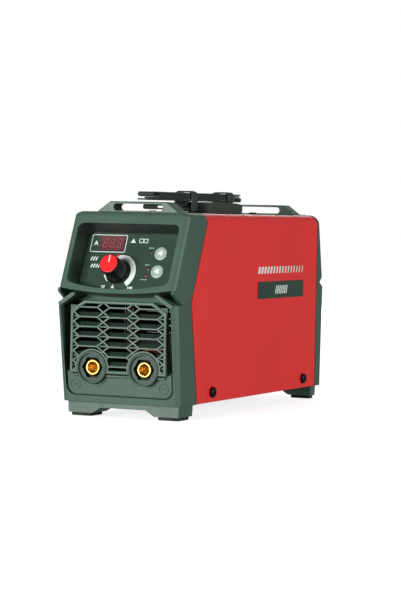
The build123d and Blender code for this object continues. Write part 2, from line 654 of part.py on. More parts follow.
def control_board():
    board = PANEL * Pos(0, 43.0, BOARD_D - CONTROL_BOARD_T / 2) * Box(93.0, 50.0, CONTROL_BOARD_T)
    for x, at in BOARD_BOSSES:
        board = board - PANEL * Pos(x, at, BOARD_D) * Cylinder(1.65, 10)
    for x, y in DISPLAY_PINS:
        board = board - PANEL * Pos(WINDOW_X + x, WINDOW_S + y, BOARD_D) * Cylinder(0.4, 10)
    back = BOARD_D - CONTROL_BOARD_T
    connector = PANEL * Pos(-14, 24, back - 4.0) * Box(16, 6, 8)
    chip = PANEL * Pos(10, 44, back - 1.0) * Box(14, 10, 2)
    return board + connector + chip


def control_board_screws():
    screw = pan_head(2.8, 2.0, 1.5, 7.5, 3.0)
    parts = []
    for x, at in BOARD_BOSSES:
        parts.append(PANEL * Pos(x, at, BOARD_D - CONTROL_BOARD_T - 0.02) * Rot(180, 0, 0) * screw)
    return group(parts)


def potentiometer():
    body = PANEL * Pos(KNOB_X, KNOB_S, -7.4) * Cylinder(8.2, 7.9)
    bush = PANEL * Pos(KNOB_X, KNOB_S, -0.5) * Cylinder(3.55, 7.4)
    bore = PANEL * Pos(KNOB_X, KNOB_S, 0.0) * Cylinder(3.05, 14)
    return body + bush - bore


def pot_nut():
    nut = extrude(PANEL.offset(0.45) * Pos(KNOB_X, KNOB_S) * RegularPolygon(5.6, 6), amount=2.0)
    return nut - PANEL * Pos(KNOB_X, KNOB_S, 0) * Cylinder(3.6, 20)


def pot_shaft():
    shaft = PANEL * Pos(KNOB_X, KNOB_S, 4.6) * Cylinder(3.0, 23.0)
    flat = PANEL * Pos(KNOB_X, KNOB_S + 3.9, 11.3) * Box(8, 3, 9.8)
    return shaft - flat


def knob_body():
    profile = [
        (3.02, 4.0), (7.6, 4.0), (7.6, 1.2), (11.5, 1.2), (11.5, 3.0), (10.3, 4.6),
        (9.2, 20.6), (8.6, 21.1), (8.6, 19.4), (0, 19.4), (0, 16.2), (3.02, 16.2),
    ]
    section = make_face(Plane.XZ * Polyline(*profile, close=True))
    body = revolve(section, Axis.Z)
    flutes = [Rot(0, 0, 15 * i) * Pos(11.35, 0, 12.5) * Cylinder(1.25, 14.0) for i in range(24)]
    body = body - joined(flutes)
    return PANEL * Pos(KNOB_X, KNOB_S, 0) * body


def knob_cap():
    cap = Pos(0, 0, 20.45) * Cylinder(8.5, 2.1)
    cap = fillet(cap.edges().group_by(Axis.Z)[-1], 0.6)
    line = Pos(0, 4.6, 21.5) * Box(0.9, 7.6, 0.5)
    return PANEL * Pos(KNOB_X, KNOB_S, 0) * (cap - line)


def button(at):
    rim = Pos(0, 0, -3.3) * Cylinder(7.4, 1.2)
    head = Pos(0, 0, -0.7) * Cylinder(BUTTON_R, 5.2)
    head = fillet(head.edges().group_by(Axis.Z)[-1], 1.3)
    stem = Pos(0, 0, -5.4) * Cylinder(2.0, 4.0)
    return PANEL * Pos(BUTTON_X, at, 0) * (rim + head + stem)


def tact_switches():
    parts = []
    for at in BUTTON_S:
        base = Pos(0, 0, BOARD_D + 1.6) * Box(6, 6, 3.2)
        plunger = Pos(0, 0, BOARD_D + 3.2) * Cylinder(1.6, 0.4)
        parts.append(PANEL * Pos(BUTTON_X, at, 0) * (base + plunger))
    return group(parts)


def indicator_leds():
    parts = []
    for x, at in LED_PLACES:
        lamp = Pos(0, 0, -5.4) * Cylinder(1.5, 12.0)
        lamp = fillet(lamp.edges().group_by(Axis.Z)[-1], 1.2)
        parts.append(PANEL * Pos(x, at, 0) * lamp)
    return group(parts)


# ---------------------------------------------------------------- power electronics
def main_board():
    board = block(-50, 50, 52, 258, BOARD_Z, BOARD_TOP)
    for x, y in STANDOFFS:
        board = board - rod_z(x, y, 1.65, 20, 30)
    for x in (-SOCKET_X, SOCKET_X):
        board = board - rod_z(x, BAR_BOLT_Y, 2.6, 20, 30)
    return board


def board_standoffs():
    parts = []
    for x, y in STANDOFFS:
        post = Pos(x, y, CASE_BOTTOM + SHEET) * extrude(RegularPolygon(3.2, 6), BOARD_Z - CASE_BOTTOM - SHEET)
        parts.append(post - rod_z(x, y, 1.55, 10, 30))
    return group(parts)


def board_screws():
    screw = pan_head(2.8, 2.0, 1.5, 6.5, 3.0)
    return group([Pos(x, y, BOARD_TOP + 0.02) * screw for x, y in STANDOFFS])


def heatsink():
    plate = block(15, 20, 112, 220, BOARD_TOP, 98)
    fins = []
    for i in range(11):
        z = 28 + 6.8 * i
        fins.append(block(19, 46, 112, 220, z, z + 1.8))
    return joined([plate] + fins)


def power_packages(side):
    """Four flat power packages standing against one heatsink."""
    parts = []
    for i in range(4):
        y = 124 + 27 * i
        body = block(10, 15, y, y + 16, 50, 70)
        legs = [block(12, 12.8, y + 2.5 + 5 * k, y + 3.7 + 5 * k, BOARD_TOP, 50.2) for k in range(3)]
        part = joined([body] + legs)
        parts.append(part if side > 0 else mirror(part, Plane.YZ))
    return group(parts)


def bulk_capacitors():
    parts = []
    for x in (-33, 0, 33):
        can = rod_z(x, 239, 14.5, BOARD_TOP, 72)
        can = fillet(can.edges().group_by(Axis.Z)[-1], 1.5)
        parts.append(can - Pos(x, 239, 72) * Cylinder(11, 1.0))
    return group(parts)


def transformer_core():
    outer = block(-42, 4, 74, 104, BOARD_TOP + 1, 70)
    windows = block(-34, -26, 60, 120, 36, 60) + block(-12, -4, 60, 120, 36, 60)
    return outer - windows


def transformer_winding():
    coil = block(-33.8, -4.2, 68, 110, 36.2, 59.8)
    coil = fillet(coil.edges().filter_by(Axis.Z), 5.0)
    return coil - block(-26.1, -11.9, 73.9, 104.1, 20, 80)


def output_choke():
    ring = rod_y(27, 47, 20, 78, 98) - rod_y(27, 47, 10, 70, 110)
    ring = fillet(ring.edges(), 4.0)
    foot = block(15, 39, 80, 96, BOARD_TOP, 31)
    return ring + foot


def bridge_rectifier():
    body = block(-8, 8, 186, 216, 32, 40) - rod_z(0, 201, 2, 20, 50)
    legs = [block(x, x + 1.2, y, y + 1.0, BOARD_TOP, 32.2) for x in (-6, 5) for y in (190, 211)]
    return joined([body] + legs)


def inrush_relay():
    return fillet(block(-9, 9, 140, 170, BOARD_TOP, 46).edges().filter_by(Axis.Z), 1.0)


def tube(points, radii, r):
    path = FilletPolyline(*points, radius=radii)
    return sweep(Plane(origin=path @ 0, z_dir=path % 0) * Circle(r), path=path)


def control_leads():
    """Leads from the control board down to the front of the main board."""
    parts = []
    for k in range(4):
        x = -15.6 + 2.6 * k
        route = [
            (x, 1.5, 118), (x, 6.5, 100), (x, 5.0, 66), (x, 22, 40), (x, 62, 38 - k * 0.2), (x, 69.0, 26.4),
        ]
        parts.append(tube(route, [20, 18, 16, 5], 1.0))
    return group(parts)


def mains_leads():
    """Leads from the power switch, over the capacitors, down to the board between them."""
    parts = []
    for k, x in enumerate((-29.0, -15.0)):
        end = -17.5 + 3.0 * k
        route = [(x, 260.3, 147.4), (x, 249, 144), (x + 3, 236, 112), (end, 228, 85), (end, 226.5, 26.0)]
        parts.append(tube(route, [10, 25, 20], 1.5))
    return group(parts)


# ---------------------------------------------------------------- rear fittings
def fan_frame():
    y1 = FAN_REAR_Y
    y0 = y1 - FAN_DEPTH
    frame = block(-40, 40, y0, y1, FAN_Z - 40, FAN_Z + 40)
    frame = fillet(frame.edges().filter_by(Axis.Y), 4.0)
    frame = frame - rod_y(0, FAN_Z, 37.6, y0 - 1, y1 + 1)
    hub = rod_y(0, FAN_Z, 16.0, y0, y0 + 4)
    arms = [Pos(0, y0 + 2, FAN_Z) * Rot(0, 45 + 90 * i, 0) * Box(80, 4, 5) for i in range(2)]
    stator = joined([hub] + arms) & rod_y(0, FAN_Z, 38.5, y0, y1)
    spindle = rod_y(0, FAN_Z, 2.0, y0, y1 - 4)
    frame = frame + stator + spindle
    for x, z in FAN_HOLES:
        frame = frame - rod_y(x, z, 2.1, 250, 300)
    return frame


def fan_rotor():
    y0 = FAN_REAR_Y - FAN_DEPTH + 5.0
    y1 = FAN_REAR_Y - 1.5
    hub = rod_y(0, FAN_Z, 15.5, y0, y1)
    hub = fillet([e for e in hub.edges() if e.center().Y > y1 - 0.1], 1.5)
    blade = Pos(25.2, 0, 0) * Rot(34, 0, 0) * Box(22.5, 1.6, 21)
    middle = Pos(0, (y0 + y1) / 2 - 0.5, FAN_Z)
    blades = [middle * Rot(0, 360 / 7 * i, 0) * blade for i in range(7)]
    rotor = joined([hub] + blades) & rod_y(0, FAN_Z, 36.4, y0, y1)
    return rotor - rod_y(0, FAN_Z, 2.05, 250, FAN_REAR_Y - 3.5)


def fan_screws():
    screw = pan_head(4.0, 2.4, 2.0, 22.0, 4.4)
    parts = []
    for x, z in FAN_HOLES:
        y = REAR_FOOT_Y + (z - CASE_BOTTOM) * (REAR_HEAD_Y - REAR_FOOT_Y) / (111.6 - CASE_BOTTOM) + 0.12
        parts.append(Pos(x, y, z) * Rot(-90, 0, 0) * screw)
    return group(parts)


def switch_body():
    y = REAR_POCKET_Y + 0.02
    flange = block(SWITCH_X - 16.5, SWITCH_X + 16.5, y, y + 2.2, SWITCH_Z - 13, SWITCH_Z + 13)
    flange = chamfer([e for e in flange.edges() if e.center().Y > y + 2.1], 0.8)
    body = flange + block(SWITCH_X - 14.3, SWITCH_X + 14.3, y - 21, y + 1, SWITCH_Z - 10.8, SWITCH_Z + 10.8)
    body = body - block(SWITCH_X - 11.5, SWITCH_X + 11.5, y - 9, y + 9, SWITCH_Z - 9.2, SWITCH_Z + 9.2)
    for x in (SWITCH_X - 7, SWITCH_X + 7):
        body = body + block(x - 3, x + 3, y - 24, y - 20.9, SWITCH_Z - 5, SWITCH_Z - 4.2)
    return body


def switch_rocker():
    """Rocker, drawn in its off position; it tips about a cross axis just behind the flange."""
    outline = polygon([(-8.2, 3.9), (-7.6, -1.5), (7.6, -1.5), (8.2, 3.9), (0, 2.5)])
    solid = extrude(Plane.YZ.offset(-11.2) * Rot(0, 0, -90) * outline, amount=22.4)
    solid = solid + rod_x(0, 0, 2.0, -11.2, 11.2)
    pivot = Location((SWITCH_X, REAR_POCKET_Y - 1.0, SWITCH_Z), (-ROCKER_TILT, 0, 0))
    return pivot * solid


def gland_body():
    y = REAR_POCKET_Y + 0.02
    nut = hex_y(GLAND_X, GLAND_Z, 24.0, y, y + 7)
    body = nut + rod_y(GLAND_X, GLAND_Z, 10.0, y - 13, y + 16)
    return body - rod_y(GLAND_X, GLAND_Z, 7.6, y - 20, y + 30)


def gland_locknut():
    y = REAR_POCKET_Y - 2.52
    return hex_y(GLAND_X, GLAND_Z, 26.0, y - 5, y) - rod_y(GLAND_X, GLAND_Z, 10.05, 260, 300)


def gland_dome():
    y = REAR_POCKET_Y + 0.02
    tip = REAR_TIP
    outer = hex_y(GLAND_X, GLAND_Z, 24.0, y + 7.4, y + 19) + rod_y(GLAND_X, GLAND_Z, 11.6, y + 18, tip)
    end = [e for e in outer.edges() if e.center().Y > tip - 0.1]
    outer = fillet(end, 4.5)
    outer = outer - rod_y(GLAND_X, GLAND_Z, 10.1, y, y + 17) - rod_y(GLAND_X, GLAND_Z, 7.6, y, tip - 5)
    return outer - rod_y(GLAND_X, GLAND_Z, 5.6, y, tip + 5)


def gland_seal():
    y = REAR_POCKET_Y
    return rod_y(GLAND_X, GLAND_Z, 7.5, y + 10, y + 26) - rod_y(GLAND_X, GLAND_Z, 4.25, y, y + 40)


def ground_screw():
    x, y, z = GROUND_X, REAR_POCKET_Y + 0.02, GROUND_Z
    washer = rod_y(x, z, 6.0, y, y + 1.2) - rod_y(x, z, 2.55, y - 5, y + 5)
    head = rod_y(x, z, 4.6, y + 1.22, y + 4.6)
    head = fillet([e for e in head.edges() if e.center().Y > y + 4.5], 1.4)
    head = head - Pos(x, y + 4.6, z) * (Box(6.0, 2.4, 1.0) + Box(1.0, 2.4, 6.0))
    return group([washer, head + rod_y(x, z, 2.5, y - 12, y + 1.3)])


def side_badges():
    plate = block(HALF + 0.02, HALF + 0.6, 131.5, 242.0, 104.5, 120.8)
    plate = fillet(plate.edges().filter_by(Axis.X), 0.8)
    return group([plate, mirror(plate, Plane.YZ)])


# ---------------------------------------------------------------- shoulder strap
def band(points, radii):
    """Webbing of constant thickness along a path in the YZ plane."""
    line = Plane.YZ * FilletPolyline(*points, radius=radii)
    strip = Plane(origin=line @ 0, x_dir=(1, 0, 0), z_dir=line % 0) * Rectangle(2 * STRAP_HALF, LAYER)
    return sweep(strip, path=line)


def strap_webbing():
    """Folded strap: one band doubled back over itself, and its tucked free end."""
    low, mid, tail, up, top = STRAP_LEVELS
    route = [
        (88, low), (20, low), (20, mid), (78, mid), (90, tail),
        (206, tail), (206, up), (9.5, up), (9.5, top), (205, top),
    ]
    main = band(route, [1.65, 1.65, 9.0, 9.0, 1.55, 1.55, 1.55, 1.55])
    free_end = block(-STRAP_HALF, STRAP_HALF, *FREE_END, tail - LAYER / 2, tail + LAYER / 2)
    return group([main, free_end])


def keeper(y0, y1, z0, z1):
    outer = Pos(0, (z0 + z1) / 2) * RectangleRounded(2 * STRAP_HALF + 3.4, z1 - z0, 2.6)
    inner = Pos(0, (z0 + z1) / 2) * RectangleRounded(2 * STRAP_HALF + 0.6, z1 - z0 - 2.6, 0.7)
    ring = prism_xz(outer - inner, y0, y1)
    half = (y1 - y0) / 2
    ends = [e for e in ring.edges() if abs(abs(e.center().Y - y0 - half) - half) < 0.01]
    return fillet(ends, 0.4)


def shoulder_pad():
    pad = block(-4, 20, 104.5, 186, CASE_TOP + 0.1, 193.8)
    pad = fillet(pad.edges().filter_by(Axis.Z), 4.0)
    return fillet(pad.edges().group_by(Axis.Z)[-1] + pad.edges().group_by(Axis.Z)[0], 2.0)


NODES = {
    "front_bezel": front_bezel,
    "rear_bezel": rear_bezel,
    "cover": cover,
    "base_pan": base_pan,
    "cover_side_screws": side_screws,
    "cover_top_screws": top_screws,
    "rubber_feet": rubber_feet,
    "front_grille": front_grille,
    "socket_nuts": socket_nuts,
    "output_busbars": output_busbars,
    "busbar_bolts": busbar_bolts,
    "control_overlay": control_overlay,
    "display_window": display_window,
    "display_module": display_module,
    "control_board": control_board,
    "control_board_screws": control_board_screws,
    "potentiometer": potentiometer,
    "pot_nut": pot_nut,
    "pot_shaft": pot_shaft,
    "knob_body": knob_body,
    "knob_cap": knob_cap,
    "tact_switches": tact_switches,
    "indicator_leds": indicator_leds,
    "main_board": main_board,
    "board_standoffs": board_standoffs,
    "board_screws": board_screws,
    "heatsink_right": heatsink,
    "heatsink_left": lambda: mirror(heatsink(), Plane.YZ),
    "power_transistors": lambda: power_packages(1),
    "output_diodes": lambda: power_packages(-1),
    "bulk_capacitors": bulk_capacitors,
    "transformer_core": transformer_core,
    "transformer_winding": transformer_winding,
    "output_choke": output_choke,
    "bridge_rectifier": bridge_rectifier,
    "inrush_relay": inrush_relay,
    "control_leads": control_leads,
    "mains_leads": mains_leads,
    "fan_frame": fan_frame,
    "fan_rotor": fan_rotor,
    "fan_screws": fan_screws,
    "switch_body": switch_body,
    "switch_rocker": switch_rocker,
    "gland_body": gland_body,
    "gland_locknut": gland_locknut,
    "gland_dome": gland_dome,
    "gland_seal": gland_seal,
    "ground_screw": ground_screw,
    "side_badges": side_badges,
    "strap_webbing": strap_webbing,
    "strap_keeper_front": lambda: keeper(95.5, 103.4, 184.3, 205.4),
    "strap_keeper_rear": lambda: keeper(176.0, 187.0, 194.1, 205.4),
    "shoulder_pad": shoulder_pad,
    "bezel_screws": bezel_screws,
    "socket_plus_housing": lambda: socket_housing(-SOCKET_X),
    "socket_minus_housing": lambda: socket_housing(SOCKET_X),
    "socket_plus_contact": lambda: socket_contact(-SOCKET_X),
    "socket_minus_contact": lambda: socket_contact(SOCKET_X),
    "button_upper": lambda: button(BUTTON_S[0]),
    "button_lower": lambda: button(BUTTON_S[1]),
}

for name, make in NODES.items():
    save(name, make())
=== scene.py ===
import json
import math

import bmesh
import bpy
from mathutils import Matrix, Vector


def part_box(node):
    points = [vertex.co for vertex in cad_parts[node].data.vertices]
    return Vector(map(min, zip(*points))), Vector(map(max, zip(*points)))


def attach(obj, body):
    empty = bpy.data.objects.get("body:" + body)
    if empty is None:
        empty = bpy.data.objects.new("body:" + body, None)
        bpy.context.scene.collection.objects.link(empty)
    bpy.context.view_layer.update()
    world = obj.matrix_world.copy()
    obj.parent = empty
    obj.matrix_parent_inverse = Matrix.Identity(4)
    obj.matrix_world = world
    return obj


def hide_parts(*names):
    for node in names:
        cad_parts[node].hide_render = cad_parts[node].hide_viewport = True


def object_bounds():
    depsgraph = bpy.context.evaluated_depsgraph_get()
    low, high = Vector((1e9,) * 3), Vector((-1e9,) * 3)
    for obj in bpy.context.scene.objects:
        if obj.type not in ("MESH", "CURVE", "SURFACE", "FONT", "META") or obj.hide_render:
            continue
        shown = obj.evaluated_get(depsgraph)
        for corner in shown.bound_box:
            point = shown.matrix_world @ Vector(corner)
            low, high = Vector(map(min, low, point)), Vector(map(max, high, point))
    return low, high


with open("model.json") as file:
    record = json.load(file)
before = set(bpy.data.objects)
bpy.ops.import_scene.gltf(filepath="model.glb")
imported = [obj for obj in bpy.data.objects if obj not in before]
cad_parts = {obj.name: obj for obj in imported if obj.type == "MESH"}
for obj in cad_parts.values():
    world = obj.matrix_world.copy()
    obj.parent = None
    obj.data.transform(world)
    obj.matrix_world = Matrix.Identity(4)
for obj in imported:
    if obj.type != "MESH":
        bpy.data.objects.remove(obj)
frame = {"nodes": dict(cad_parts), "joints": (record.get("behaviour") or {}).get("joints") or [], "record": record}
cad_low, cad_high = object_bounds()

MM = 0.001
ACROSS = Vector((1, 0, 0))
UP = Vector((0, 0, 1))
collection = bpy.context.scene.collection
joints = {joint["name"]: joint for joint in frame["joints"]}

# ---------------------------------------------------------------- places taken from the frame
KNOB_AT = Vector(joints["knob_turn"]["pos_m"])  # knob axis where it meets the control panel
PANEL_OUT = -Vector(joints["knob_turn"]["axis"])
PANEL_UP = PANEL_OUT.cross(ACROSS)


def highest_along(node, direction, origin):
    """How far a CAD node reaches from origin along a direction, in metres."""
    return max((v.co - origin).dot(direction) for v in frame["nodes"][node].data.vertices)


FILM_TOP = highest_along("control_overlay", PANEL_OUT, KNOB_AT)
WINDOW_TOP = highest_along("display_window", PANEL_OUT, KNOB_AT)
CAP_TOP = highest_along("knob_cap", PANEL_OUT, KNOB_AT)
BUTTON_TOP = highest_along("button_upper", PANEL_OUT, KNOB_AT)
cover_low, cover_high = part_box("cover")
strap_low, strap_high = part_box("strap_webbing")
pad_low, pad_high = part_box("shoulder_pad")
badge_low, badge_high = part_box("side_badges")
socket_low, socket_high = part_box("socket_plus_housing")
socket_centre = Vector((abs(socket_low.x + socket_high.x) / 2, 0, (socket_low.z + socket_high.z) / 2))
grille_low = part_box("front_grille")[0]

# places on the panel in millimetres from the knob axis: across, and up the slope
WINDOW_AT = (-11.7, 27.9)
DISPLAY_FRAME_AT, DISPLAY_FRAME_SIZE = (-15.6, 27.6), (35.6, 17.2)
UNIT_LETTER_AT = (-28.3, 27.7)
BUTTON_AT = {"button_upper": (39.0, 18.9), "button_lower": (39.0, 1.5)}
INK = 0.06  # thickness of a printed mark

# seam between the front bezel and the cover, in metres, and its slopes as run over rise
WAIST_Z = 0.105  # height where the two slopes meet
SEAM_GAP = 0.0012
SEAM_MARGIN = 0.0001  # the groove's shade starts this far behind the bezel's edge
SEAM_SLOPE_LOW = -15.0 / 91.5
SEAM_SLOPE_HIGH = math.tan(math.radians(23.4))
# cover sheet, in metres
BEND = 0.010  # outside bend radius
SHEET_INSIDE = 0.0011  # depth below the outer face from which the sheet is painted black as shade within the case
# slats behind the mesh, darkened with painted shade, in metres
SLAT_HALF_W, SLAT_Z = 0.0466, (0.036, 0.0965)
RIB_BACK = 0.0023  # the shade on the slats starts this far behind the mesh's front
# sides of the control recess, darkened with painted shade: half width, out of the panel and up the panel, in
# metres
RECESS_HALF_W, RECESS_LIFT, RECESS_CLIMB = 0.0513, (-0.001, 0.0188), (-0.026, 0.041)
# sockets, in metres
SOCKET_LEDGE = 0.0032  # depth of the pocket's ledge behind the socket's front ring; further in, the pocket is painted black as shade
BRASS_NOSE_R = 0.00695
BRASS_SHADE = 0.0045  # depth behind the socket's front where the brass shoulder is painted black as shade


# ---------------------------------------------------------------- node materials
def srgb(red, green, blue):
    """0-255 display colour to the linear colour that shaders take."""
    def linear(value):
        share = value / 255
        return share / 12.92 if share <= 0.04045 else ((share + 0.055) / 1.055) ** 2.4
    return (linear(red), linear(green), linear(blue), 1.0)


def scaled(colour, factor):
    return tuple(min(1.0, part * factor) for part in colour[:3]) + (1.0,)


# painted shade: the colour put where shade falls in grooves, recesses, pockets, behind the mesh and within the
# case
PAINTED_SHADE = srgb(14, 17, 16)
BELOW_ZERO = -1.0  # low limit for a value that is never negative


class Finish:
    """A Principled material built up from procedural layers in the piece's own coordinates."""

    def __init__(self, name, roughness=0.5, metallic=0.0, specular=0.5, coat=0.0, sheen=0.0):
        self.material = bpy.data.materials.new(name)
        self.material.use_nodes = True
        self.nodes = self.material.node_tree.nodes
        self.links = self.material.node_tree.links
        self.shader = self.nodes["Principled BSDF"]
        self.set("Roughness", roughness)
        self.set("Metallic", metallic)
        self.set("Specular IOR Level", specular)
        self.set("Coat Weight", coat)
        self.set("Sheen Weight", sheen)
        self.place = self.nodes.new("ShaderNodeTexCoord").outputs["Object"]
        self.normal = None
        self.tone = None

    def set(self, name, value):
        self.shader.inputs[name].default_value = value

    def node(self, kind, inputs=(), **settings):
        made = self.nodes.new(kind)
        for name, value in settings.items():
            setattr(made, name, value)
        for name, value in dict(inputs).items():
            if isinstance(value, bpy.types.NodeSocket):
                self.links.new(value, made.inputs[name])
            else:
                made.inputs[name].default_value = value
        return made

    def stretched(self, scale):
        mapping = self.node("ShaderNodeMapping", {"Vector": self.place, "Scale": scale})
        return mapping.outputs["Vector"]

    def noise(self, per_metre, detail=3.0, rough=0.5, vector=None):
        inputs = {"Vector": vector or self.place, "Scale": per_metre, "Detail": detail, "Roughness": rough}
        return self.node("ShaderNodeTexNoise", inputs).outputs["Fac"]

    def cells(self, per_metre, vector=None, feature="F1"):
        inputs = {"Vector": vector or self.place, "Scale": per_metre}
        return self.node("ShaderNodeTexVoronoi", inputs, feature=feature).outputs["Distance"]

    def axes(self, vector=None):
        return self.node("ShaderNodeSeparateXYZ", {"Vector": vector or self.place}).outputs

    def ramp(self, value, low, high, to_low=0.0, to_high=1.0):
        inputs = {"Value": value, "From Min": low, "From Max": high, "To Min": to_low, "To Max": to_high}
        return self.node("ShaderNodeMapRange", inputs).outputs["Result"]

    def math(self, operation, first, second=0.0):
        made = self.nodes.new("ShaderNodeMath")
        made.operation = operation
        for socket, value in zip(made.inputs, (first, second)):
            if isinstance(value, bpy.types.NodeSocket):
                self.links.new(value, socket)
            else:
                socket.default_value = value
        return made.outputs[0]

    def within(self, value, low, high):
        """1 between two limits and 0 outside them."""
        above = self.math("GREATER_THAN", value, low)
        return self.math("MULTIPLY", above, self.math("LESS_THAN", value, high))

    def blend(self, share, first, second):
        """Mix of two colours, each a constant or the output of another layer."""
        made = self.node("ShaderNodeMix", data_type="RGBA")
        for socket, value in ((made.inputs[0], share), (made.inputs[6], first), (made.inputs[7], second)):
            if isinstance(value, bpy.types.NodeSocket):
                self.links.new(value, socket)
            else:
                socket.default_value = value
        return made.outputs[2]

    def colour(self, value):
        if isinstance(value, bpy.types.NodeSocket):
            self.links.new(value, self.shader.inputs["Base Color"])
        else:
            self.set("Base Color", value)
        return self

    def roughness(self, value):
        self.links.new(value, self.shader.inputs["Roughness"])
        return self

    def patchy_roughness(self, per_metre, low, high):
        return self.roughness(self.ramp(self.noise(per_metre), 0.3, 0.7, low, high))

    def bump(self, height, depth_mm, strength=1.0):
        inputs = {"Height": height, "Distance": depth_mm * MM, "Strength": strength}
        if self.normal is not None:
            inputs["Normal"] = self.normal
        self.normal = self.node("ShaderNodeBump", inputs).outputs["Normal"]
        self.links.new(self.normal, self.shader.inputs["Normal"])
        return self

    def soft_edges(self, radius_mm):
        """Rounds the shading of sharp edges, as a moulded or painted edge is."""
        inputs = {"Radius": radius_mm * MM}
        self.normal = self.node("ShaderNodeBevel", inputs, samples=4).outputs["Normal"]
        self.links.new(self.normal, self.shader.inputs["Normal"])
        return self


def moulded(name, base, roughness=0.5, edge=0.35, grain=1900, depth=0.02, dust=0.06, specular=0.5):
    """Moulded plastic: spark-eroded grain, slight flow mottling, scuffs and a trace of dust."""
    finish = Finish(name, specular=specular)
    if edge:
        finish.soft_edges(edge)
    cloud = finish.ramp(finish.noise(22, 4, 0.6), 0.3, 0.7)
    tone = finish.blend(cloud, scaled(base, 0.93), scaled(base, 1.07))
    specks = finish.ramp(finish.noise(520, 2, 0.6), 0.62, 0.8, 0.0, dust)
    finish.tone = finish.blend(specks, tone, srgb(196, 200, 190))
    finish.colour(finish.tone)
    scuffs = finish.noise(140, 5, 0.7, finish.stretched((1, 3, 1)))
    finish.roughness(finish.ramp(scuffs, 0.35, 0.75, roughness - 0.07, roughness + 0.1))
    finish.bump(finish.noise(grain, 3, 0.65), depth)
    return finish


def bezel_plastic():
    """Grey-green moulding, with painted shade: black in the seam groove, and darker in the control recess and
    behind the mesh.
    """
    finish = moulded("bezel_plastic", srgb(64, 90, 76), roughness=0.46, edge=0.5, grain=1500, depth=0.03)
    parts = finish.axes()
    width = finish.math("ABSOLUTE", parts["X"])
    # painted shade on the slats seen through the mesh
    slat_shade = finish.within(width, BELOW_ZERO, SLAT_HALF_W)
    slat_shade = finish.math("MULTIPLY", slat_shade, finish.within(parts["Z"], *SLAT_Z))
    slat_shade = finish.math("MULTIPLY", slat_shade, finish.within(parts["Y"], grille_low.y + RIB_BACK, 0.0))
    over_y = finish.math("SUBTRACT", parts["Y"], KNOB_AT.y)
    over_z = finish.math("SUBTRACT", parts["Z"], KNOB_AT.z)
    lift, climb = [
        finish.math("ADD", finish.math("MULTIPLY", over_y, way.y), finish.math("MULTIPLY", over_z, way.z))
        for way in (PANEL_OUT, PANEL_UP)
    ]
    # painted shade in the control recess, darker towards the top under the hood
    recess_shade = finish.within(width, BELOW_ZERO, RECESS_HALF_W)
    recess_shade = finish.math("MULTIPLY", recess_shade, finish.within(lift, *RECESS_LIFT))
    recess_shade = finish.math("MULTIPLY", recess_shade, finish.within(climb, *RECESS_CLIMB))
    recess_shade = finish.math("MULTIPLY", recess_shade, finish.ramp(climb, 0.0, RECESS_CLIMB[1] - 0.004, 0.3, 0.85))
    shaded = finish.blend(recess_shade, finish.blend(finish.math("MULTIPLY", slat_shade, 0.6), finish.tone, PAINTED_SHADE), PAINTED_SHADE)
    # painted shade: the tongue that runs under the cover in the seam groove is black
    height = finish.math("SUBTRACT", parts["Z"], WAIST_Z)
    seams = [finish.math("MULTIPLY", height, slope) for slope in (SEAM_SLOPE_LOW, SEAM_SLOPE_HIGH)]
    seam = finish.math("ADD", finish.math("MAXIMUM", *seams), cover_low.y - SEAM_GAP + SEAM_MARGIN)
    behind = finish.math("GREATER_THAN", parts["Y"], seam)
    before_rear = finish.math("LESS_THAN", parts["Y"], cover_high.y + SEAM_GAP)
    inside = finish.math("MULTIPLY", behind, before_rear)
    under = finish.math("LESS_THAN", parts["Z"], cover_high.z)
    finish.colour(finish.blend(finish.math("MULTIPLY", inside, under), shaded, PAINTED_SHADE))
    return finish.material


def socket_plastic():
    """Same tone as the bezel, with painted shade making the pockets round the brass black."""
    finish = moulded(
        "socket_plastic", srgb(54, 77, 66), roughness=0.5, edge=0.3, grain=1800, depth=0.02, specular=0.25
    )
    parts = finish.axes()
    # painted shade: black further into the pocket than its ledge
    pocket_shade = finish.math("GREATER_THAN", parts["Y"], socket_low.y + SOCKET_LEDGE)
    finish.colour(finish.blend(pocket_shade, finish.tone, PAINTED_SHADE))
    return finish.material


def cover_paint():
    """Red powder coat: fine orange peel under a satin film, with painted shade making the inner faces black."""
    finish = Finish("cover_paint", coat=0.12)
    finish.set("Coat Roughness", 0.32)
    finish.soft_edges(0.4)
    base = srgb(226, 42, 40)
    cloud = finish.ramp(finish.noise(9, 3, 0.5), 0.3, 0.7)
    tone = finish.blend(cloud, scaled(base, 0.95), scaled(base, 1.04))
    fleck = finish.ramp(finish.noise(2600, 2, 0.5), 0.58, 0.78, 0.0, 0.22)
    outside = finish.blend(fleck, tone, srgb(230, 76, 70))
    # painted shade: the inner faces of the sheet are black
    parts = finish.axes()
    width = finish.math("ABSOLUTE", parts["X"])
    past_side = finish.math("MAXIMUM", finish.math("SUBTRACT", width, cover_high.x - BEND), 0.0)
    past_roof = finish.math("MAXIMUM", finish.math("SUBTRACT", parts["Z"], cover_high.z - BEND), 0.0)
    squares = [finish.math("MULTIPLY", reach, reach) for reach in (past_side, past_roof)]
    inner = (BEND - SHEET_INSIDE) ** 2
    inside = finish.math("LESS_THAN", finish.math("ADD", *squares), inner)
    finish.colour(finish.blend(inside, outside, PAINTED_SHADE))
    finish.roughness(finish.ramp(finish.noise(60, 4, 0.6), 0.3, 0.7, 0.42, 0.52))
    finish.bump(finish.cells(900), 0.035, 0.5)
    finish.bump(finish.noise(2400, 2, 0.5), 0.015)
    return finish.material


def plain_moulded(name, base, roughness=0.5, **settings):
    return moulded(name, base, roughness, **settings).material


